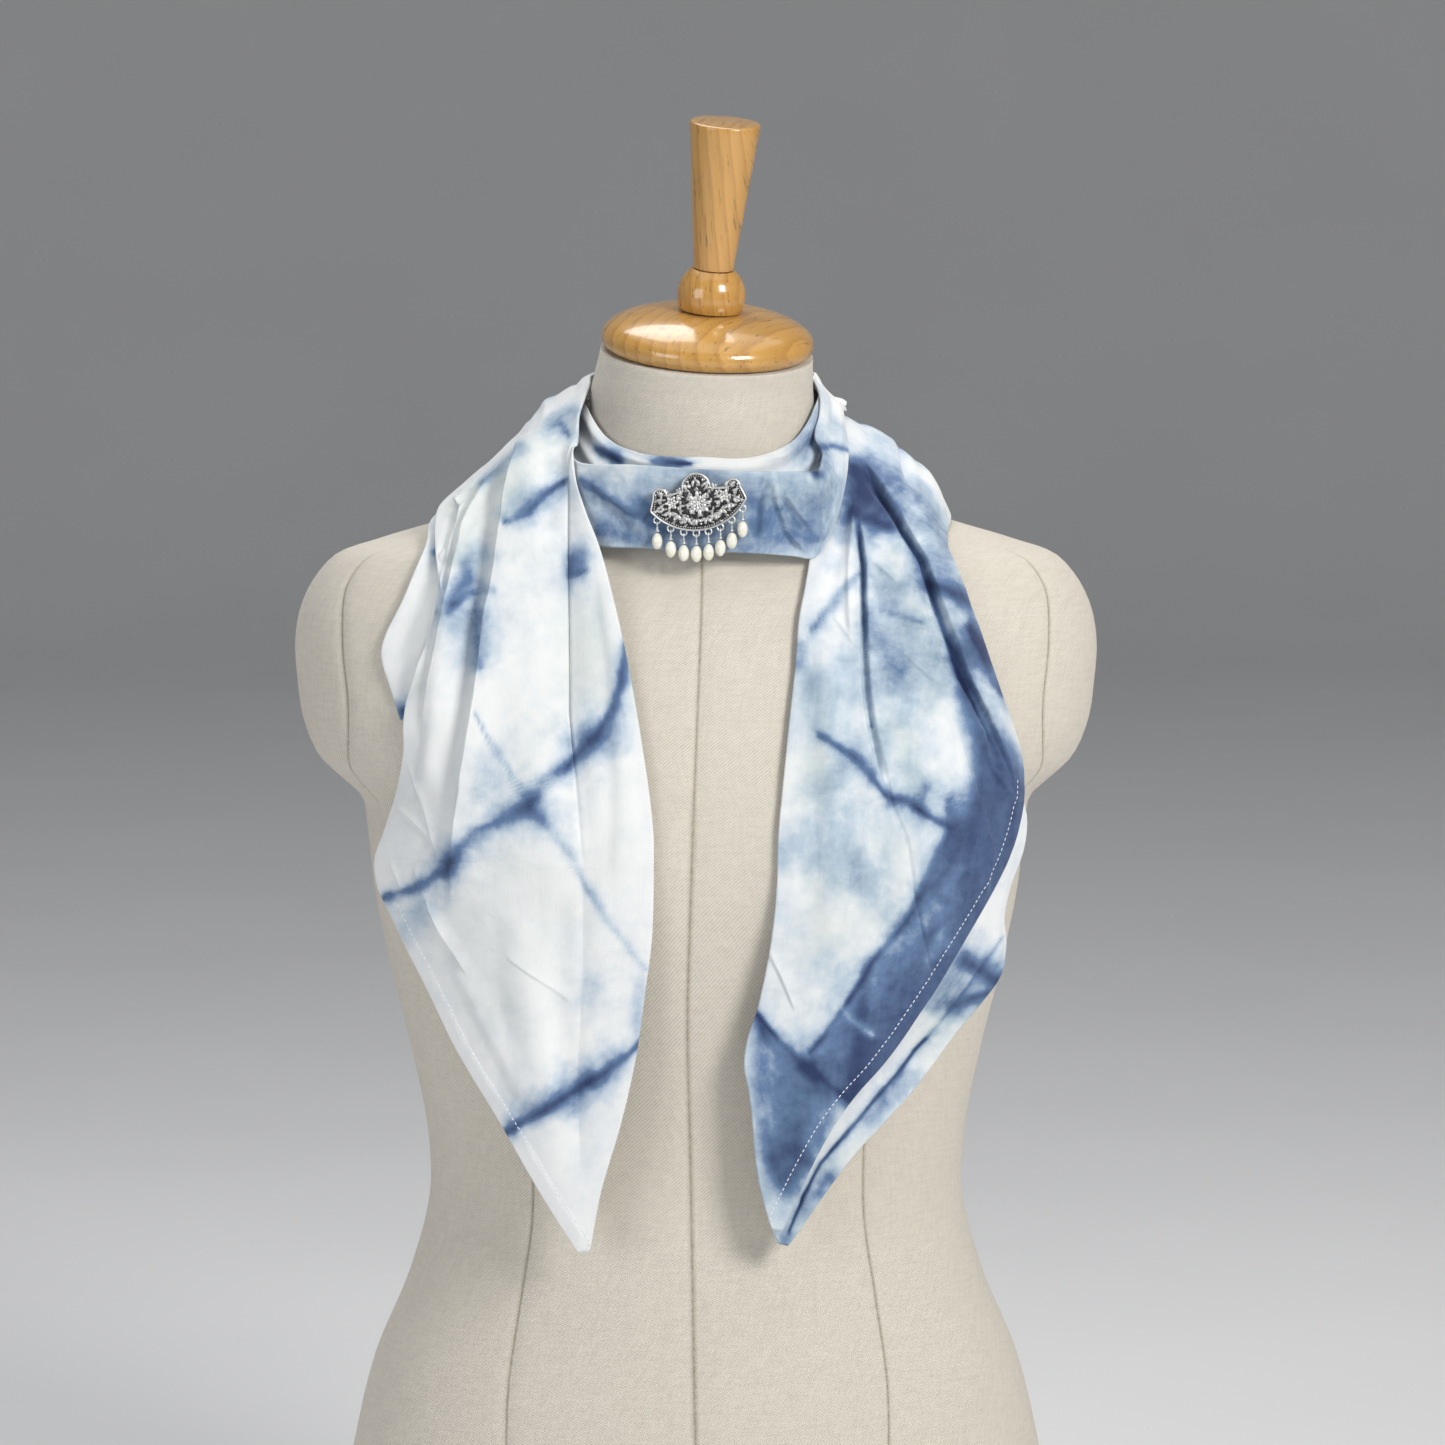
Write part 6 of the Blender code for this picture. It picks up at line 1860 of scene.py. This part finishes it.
def build_brooch():
    """Fan plate: rim, beads, three rosettes, leaf sprays, rings along the arc and the pin bar."""
    place = brooch_place()
    bm = bmesh.new()
    verts = [bm.verts.new((x, 0, z)) for x, z in even_path(plate_outline(), 0.8 * MM)]
    bm.faces.new(verts)
    made = bmesh.ops.extrude_face_region(bm, geom=list(bm.faces))
    front = [part for part in made["geom"] if isinstance(part, bmesh.types.BMVert)]
    bmesh.ops.translate(bm, vec=(0, -PLATE_THICKNESS, 0), verts=front)
    bmesh.ops.transform(bm, matrix=place, verts=bm.verts)
    bmesh.ops.triangulate(bm, faces=bm.faces)
    tube(bm, [place @ Vector((x, -PLATE_THICKNESS - 0.1 * MM, z))
              for x, z in even_path(plate_outline(0.45 * MM), 0.8 * MM)], 0.5 * MM, 8, True)
    for x, z in even_path(plate_outline(1.5 * MM), 1.15 * MM):
        bead(bm, place, x, 0.1 * MM, z, 0.42 * MM, 1)
    for (x, z, radius), petals in zip(ROSETTES, (8, 6, 6)):
        rosette(bm, place, x * MM, z * MM, radius * MM, petals, 0.75 * MM)
    for x, z, direction, length in SPRAY_LEAVES:
        for side, angle in ((1, math.radians(direction)), (-1, math.pi - math.radians(direction))):
            petal(bm, place, side * x * MM, z * MM, -angle, length * MM, length * 0.44 * MM,
                  0.62 * MM, 0.4)
    for x, z, radius in FILLER_BEADS:
        for side in (1, -1) if x else (1,):
            bead(bm, place, side * x * MM, 0.15 * MM, z * MM, radius * MM)
    field = ((1, 0.01, tuple((x / MM, z / MM) for x, z in plate_outline(2.4 * MM))),)
    for row in range(FIELD_ROWS):
        for step in range(-FIELD_STEPS, FIELD_STEPS + 1):
            x = (step + row % 2 / 2) * FIELD_PITCH
            z = FIELD_LOW + row * FIELD_RISE
            if within(np.array([[x, z]]), field)[0] > 0.5:
                turn = math.atan2(z + 9, x) + math.radians(38 if (step + row) % 2 else -38)
                petal(bm, place, x * MM, z * MM, -turn, 2.6 * MM, 1.15 * MM, 0.42 * MM, 0.4)
    rings_from = len(bm.verts)
    for number in range(DROP_COUNT):
        x = (number - (DROP_COUNT - 1) / 2) * DROP_PITCH
        z = ARC_RADIUS - PLATE_ARC_DROP - math.sqrt(ARC_RADIUS ** 2 - x ** 2) - RING_BELOW_EDGE
        ring = []
        for angle in whole_turn(20):
            across, up = circle(RING_RADIUS, angle)
            ring.append(place @ Vector((x + across, -PLATE_THICKNESS / 2, z + up)))
        tube(bm, ring, RING_WIRE, 8, True)
    finish_silver("fan_brooch", bm, ("brooch_plate",), place, rings_from)

    bar = bmesh.new()
    size = Matrix.Diagonal((PIN_LENGTH, PIN_DEPTH, PIN_HEIGHT, 1))
    behind = Matrix.Translation((0, GAP + PIN_DEPTH / 2, 0))
    bmesh.ops.create_cube(bar, size=1.0, matrix=place @ behind @ size)
    bmesh.ops.bevel(bar, geom=bar.edges, offset=0.5 * MM, affect="EDGES", segments=3, profile=0.5,
                    material=-1)
    finish_silver("pin_bar", bar, ("brooch_pin",), place)


def build_wire(number):
    """One drop's wire: an eye on the hinge, a stem wound with finer wire, and a cup."""
    low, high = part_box("wire_%d" % number)
    hinge = Vector(((low[0] + high[0]) / 2, (low[1] + high[1]) / 2,
                    high[2] - EYE_RADIUS - EYE_WIRE))
    bm = bmesh.new()
    eye = [hinge + Vector((0, *circle(EYE_RADIUS, angle))) for angle in whole_turn(20)]
    tube(bm, eye, EYE_WIRE, 8, True)
    stem_top = EYE_RADIUS - 0.1 * MM
    stem_foot = EYE_RADIUS + DROP_STEM
    tube(bm, [hinge - Vector((0, 0, down)) for down in (stem_top, stem_foot)], DROP_STEM_HALF)
    coil = []
    for step in range(COIL_STEPS + 1):
        across = circle(COIL_RADIUS, 2 * math.pi * COIL_TURNS * step / COIL_STEPS)
        down = EYE_RADIUS + 0.35 * MM + COIL_HEIGHT * step / COIL_STEPS
        coil.append(hinge + Vector((*across, -down)))
    tube(bm, coil, COIL_WIRE, 6)
    top = hinge.z - stem_foot - CUP_FLARE + 0.15 * MM
    spun(bm, ((0.28 * MM, top + 0.35 * MM), (0.75 * MM, top + 0.1 * MM),
              (CUP_RADIUS, top - 0.35 * MM), (CUP_RADIUS + 0.15 * MM, top - CUP_HEIGHT),
              (CUP_RADIUS - 0.2 * MM, top - CUP_HEIGHT)), 14)
    cup = [vert for vert in bm.verts if vert.co.xy.length < 2 * MM]
    bmesh.ops.translate(bm, vec=(hinge.x, hinge.y, 0), verts=cup)
    bmesh.ops.recalc_face_normals(bm, faces=bm.faces)
    layer = bm.verts.layers.float.new("relief")
    for vert in bm.verts:
        vert[layer] = WIRE_SHINE
    add_piece("drop_wire_%d" % number, bm, "drop_%d" % number, ("wire_%d" % number,),
              silver_material())


def build_pearl(number):
    """One drop's pearl, a little uneven, each in its own way."""
    low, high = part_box("pearl_%d" % number)
    centre = (Vector(low) + Vector(high)) / 2
    bm = bmesh.new()
    ball = bmesh.ops.create_uvsphere(bm, u_segments=28, v_segments=20, radius=1.0)
    rng = np.random.default_rng(number)
    lean = rng.uniform(-0.05, 0.05, 2)
    full = rng.uniform(0.95, 1.0, 2)
    waist = rng.uniform(-0.03, 0.04)
    for vert in ball["verts"]:
        x, y, z = vert.co
        side = 1 + waist * math.sin(2.2 * z) + 0.012 * math.sin(9 * z + number)
        vert.co = centre + Vector((
            (x * side * full[0] + lean[0] * z * z) * PEARL_RADIUS,
            (y * side * full[1] + lean[1] * z * z) * PEARL_RADIUS,
            z * PEARL_HALF_HEIGHT,
        ))
    add_piece("drop_pearl_%d" % number, bm, "drop_%d" % number, ("pearl_%d" % number,),
              pearl_material())


def build_drops():
    """Eight drops, each on its own body."""
    for number in range(1, DROP_COUNT + 1):
        build_wire(number)
        build_pearl(number)


# Stage

def build_stage():
    """Pale floor that sweeps up behind, soft lights, and the camera."""
    scene = bpy.context.scene
    settings = scene.stage_settings
    profile = [(0.0, 0.0), (0.4, 0.0), (1.5, 0.0), (SWEEP_START, 0.0)]
    for step in range(1, 17):
        inward, along = circle(SWEEP_BEND, math.pi / 2 * step / 16)
        profile.append((SWEEP_START + along, SWEEP_BEND - inward))
    profile.append((SWEEP_START + SWEEP_BEND, SWEEP_TOP))
    bm = bmesh.new()
    spun(bm, profile, 72)
    closed_up(bm)
    tone = settings.floor_colour
    material = plain_material("pale_floor", 3.0, 2.0, 0.5, shaded(tone, 0.97), tone,
                              Roughness=0.85)[0]
    add_object("floor_sweep", bm, material)

    scene.view_settings.view_transform = "Standard"
    world = bpy.data.worlds.new("studio")
    world.use_nodes = True
    background = world.node_tree.nodes["Background"]
    background.inputs["Color"].default_value = (0.78, 0.82, 0.88, 1.0)
    background.inputs["Strength"].default_value = settings.room_light
    scene.world = world
    aim = Vector((0, 0, 0.45))
    for name, spot, size, power, tint in (
        ("key_light", (1.3, -1.6, 1.5), 0.7, settings.key_power, (1.0, 0.985, 0.96)),
        ("fill_light", (-1.5, -1.6, 0.9), 1.1, settings.fill_power, (0.94, 0.97, 1.0)),
        ("top_light", (-0.2, 0.6, 1.9), 0.9, settings.top_power, (1.0, 1.0, 1.0)),
        ("overhead_light", (0.0, 0.0, 4.8), 6.0, settings.overhead_power, (1.0, 1.0, 1.0)),
    ):
        light = bpy.data.lights.new(name, "AREA")
        light.shape = "SQUARE"
        light.size = size
        light.energy = power
        light.color = tint
        place_toward(bpy.data.objects.new(name, light), Vector(spot), aim - Vector(spot))

    lens = bpy.data.cameras.new("front_camera")
    lens.sensor_width = SENSOR
    lens.sensor_fit = "HORIZONTAL"
    lens.lens = SENSOR * (VIEW_DISTANCE / VIEW_POINT) / VIEW_SIDE
    lens.clip_start = 0.05
    camera = bpy.data.objects.new("front_camera", lens)
    look = Vector(VIEW_LOOK)
    place_toward(camera, Vector(VIEW_AIM) - look * VIEW_DISTANCE, look)
    scene.camera = camera


def place_toward(made, spot, look):
    """Link a lamp or camera at a spot, turned to look one way."""
    made.location = spot
    made.rotation_euler = look.to_track_quat("-Z", "Y").to_euler()
    bpy.context.scene.collection.objects.link(made)


# Settings, operators and panel

class ScarfSettings(bpy.types.PropertyGroup):
    """Sizes and colours of the scarf."""

    cloth_thickness: bpy.props.FloatProperty(
        name="Cloth thickness", description="Two layers of cotton, pressed together",
        default=0.6 * MM, unit="LENGTH")
    hem_width: bpy.props.FloatProperty(
        name="Hem width", description="Width of the turned and stitched hem",
        default=9.5 * MM, unit="LENGTH")
    stitch_length: bpy.props.FloatProperty(
        name="Stitch length", description="Length of one stitch", default=2.0 * MM, unit="LENGTH")
    stitch_pitch: bpy.props.FloatProperty(
        name="Stitch pitch", description="From one stitch to the next", default=2.6 * MM,
        unit="LENGTH")
    white_colour: bpy.props.FloatVectorProperty(
        name="Undyed", description="Cloth that the dye did not reach",
        default=(0.80, 0.81, 0.81), subtype="COLOR", size=3)
    pale_colour: bpy.props.FloatVectorProperty(
        name="Pale dye", description="Thin dye at the edge of a mark",
        default=(0.47, 0.56, 0.655), subtype="COLOR", size=3)
    mid_colour: bpy.props.FloatVectorProperty(
        name="Middle dye", description="The usual blue of a mark",
        default=(0.13, 0.21, 0.365), subtype="COLOR", size=3)
    # The deep stop also stands for painted shade in the right fall's pocket and gaps.
    dark_colour: bpy.props.FloatVectorProperty(
        name="Deep dye", description="Indigo in the folds that took most dye",
        default=(0.024, 0.042, 0.12), subtype="COLOR", size=3)
    # Also the colour of painted shade, where the rinse and shade marks lie.
    rinse_and_shade_colour: bpy.props.FloatVectorProperty(
        name="Rinse tint", description="Faint grey green of the rinse",
        default=(0.70, 0.76, 0.72), subtype="COLOR", size=3)


class FormSettings(bpy.types.PropertyGroup):
    """Colour and seams of the dress form."""

    linen_colour: bpy.props.FloatVectorProperty(
        name="Linen", description="Colour of the linen cover",
        default=(0.62, 0.575, 0.50), subtype="COLOR", size=3)
    seam_depth: bpy.props.FloatProperty(
        name="Seam depth", description="How far the seams draw in", default=0.7 * MM,
        unit="LENGTH")


class WoodSettings(bpy.types.PropertyGroup):
    """Colours of the turned wood."""

    light_colour: bpy.props.FloatVectorProperty(
        name="Light wood", description="Wood between its grain lines",
        default=(0.60, 0.33, 0.085), subtype="COLOR", size=3)
    dark_colour: bpy.props.FloatVectorProperty(
        name="Dark grain", description="The grain lines",
        default=(0.33, 0.14, 0.032), subtype="COLOR", size=3)


class BroochSettings(bpy.types.PropertyGroup):
    """Colours of the brooch and its pearls."""

    silver_colour: bpy.props.FloatVectorProperty(
        name="Silver", description="Bright silver on raised parts",
        default=(0.88, 0.88, 0.865), subtype="COLOR", size=3)
    patina_colour: bpy.props.FloatVectorProperty(
        name="Patina", description="Dark silver in the hollows",
        default=(0.05, 0.05, 0.052), subtype="COLOR", size=3)
    pearl_colour: bpy.props.FloatVectorProperty(
        name="Pearl", description="Colour of the pearls",
        default=(0.86, 0.85, 0.78), subtype="COLOR", size=3)


class StageSettings(bpy.types.PropertyGroup):
    """Floor and lights."""

    floor_colour: bpy.props.FloatVectorProperty(
        name="Floor", description="Colour of the floor and sweep",
        default=(0.74, 0.74, 0.745), subtype="COLOR", size=3)
    key_power: bpy.props.FloatProperty(
        name="Key light", description="Power of the light from the front right",
        default=40.0, subtype="POWER")
    fill_power: bpy.props.FloatProperty(
        name="Fill light", description="Power of the light from the front left",
        default=13.0, subtype="POWER")
    top_power: bpy.props.FloatProperty(
        name="Top light", description="Power of the light from above and behind",
        default=10.0, subtype="POWER")
    overhead_power: bpy.props.FloatProperty(
        name="Overhead light", description="Power of the wide light over the whole stage",
        default=105.0, subtype="POWER")
    room_light: bpy.props.FloatProperty(
        name="Room light", description="Strength of the even light all round", default=0.13)


class SCARF_OT_form(bpy.types.Operator):
    """Build the linen form."""

    bl_idname = "scarf.form"
    bl_label = "Linen Form"

    def execute(self, context):
        build_form()
        return {"FINISHED"}


class SCARF_OT_wood(bpy.types.Operator):
    """Build the turned cap, ball and finial."""

    bl_idname = "scarf.wood"
    bl_label = "Turned Wood"

    def execute(self, context):
        build_wood()
        return {"FINISHED"}


class SCARF_OT_neck_wrap(bpy.types.Operator):
    """Build the rolled folds round the neck."""

    bl_idname = "scarf.neck_wrap"
    bl_label = "Neck Wrap"

    def execute(self, context):
        build_stretches("neck_wrap")
        return {"FINISHED"}


class SCARF_OT_right_fall(bpy.types.Operator):
    """Build the right fall and the layer under it."""

    bl_idname = "scarf.right_fall"
    bl_label = "Right Fall"

    def execute(self, context):
        build_stretches("fall_right_under", "fall_right")
        return {"FINISHED"}


class SCARF_OT_front_band(bpy.types.Operator):
    """Build the flat band across the throat."""

    bl_idname = "scarf.front_band"
    bl_label = "Front Band"

    def execute(self, context):
        build_stretches("front_band")
        return {"FINISHED"}


class SCARF_OT_left_fall(bpy.types.Operator):
    """Build the left fall and the hem corner under it."""

    bl_idname = "scarf.left_fall"
    bl_label = "Left Fall"

    def execute(self, context):
        build_stretches("fall_left_lobe", "fall_left")
        return {"FINISHED"}


class SCARF_OT_stitches(bpy.types.Operator):
    """Sew the hems."""

    bl_idname = "scarf.stitches"
    bl_label = "Hem Stitches"

    def execute(self, context):
        build_stitches()
        return {"FINISHED"}


class SCARF_OT_brooch(bpy.types.Operator):
    """Build the fan brooch and its pin bar."""

    bl_idname = "scarf.brooch"
    bl_label = "Fan Brooch"

    def execute(self, context):
        build_brooch()
        return {"FINISHED"}


class SCARF_OT_drops(bpy.types.Operator):
    """Build the pearl drops."""

    bl_idname = "scarf.drops"
    bl_label = "Pearl Drops"

    def execute(self, context):
        build_drops()
        return {"FINISHED"}


class SCARF_OT_stage(bpy.types.Operator):
    """Set the floor, lights and camera."""

    bl_idname = "scarf.stage"
    bl_label = "Stage"

    def execute(self, context):
        build_stage()
        return {"FINISHED"}


OPERATORS = (
    SCARF_OT_form, SCARF_OT_wood, SCARF_OT_neck_wrap, SCARF_OT_right_fall, SCARF_OT_front_band,
    SCARF_OT_left_fall, SCARF_OT_stitches, SCARF_OT_brooch, SCARF_OT_drops, SCARF_OT_stage,
)
SETTINGS = (
    ("scarf_settings", ScarfSettings), ("form_settings", FormSettings),
    ("wood_settings", WoodSettings), ("brooch_settings", BroochSettings),
    ("stage_settings", StageSettings),
)


class SCARF_PT_panel(bpy.types.Panel):
    """The scarf's steps and settings in the sidebar."""

    bl_label = "Scarf"
    bl_idname = "SCARF_PT_panel"
    bl_space_type = "VIEW_3D"
    bl_region_type = "UI"
    bl_category = "Scarf"

    def draw(self, context):
        for operator in OPERATORS:
            self.layout.operator(operator.bl_idname)
        for name, group in SETTINGS:
            box = self.layout.box()
            for key in group.__annotations__:
                box.prop(getattr(context.scene, name), key)


def register():
    """Make the settings, operators and panel known."""
    for name, group in SETTINGS:
        bpy.utils.register_class(group)
        setattr(bpy.types.Scene, name, bpy.props.PointerProperty(type=group))
    for operator in OPERATORS:
        bpy.utils.register_class(operator)
    bpy.utils.register_class(SCARF_PT_panel)


def unregister():
    """Take them away again."""
    bpy.utils.unregister_class(SCARF_PT_panel)
    for operator in reversed(OPERATORS):
        bpy.utils.unregister_class(operator)
    for name, group in reversed(SETTINGS):
        delattr(bpy.types.Scene, name)
        bpy.utils.unregister_class(group)


def main():
    """Run every step in order."""
    register()
    for operator in OPERATORS:
        space, name = operator.bl_idname.split(".")
        getattr(getattr(bpy.ops, space), name)()


if __name__ == "__main__":
    main()
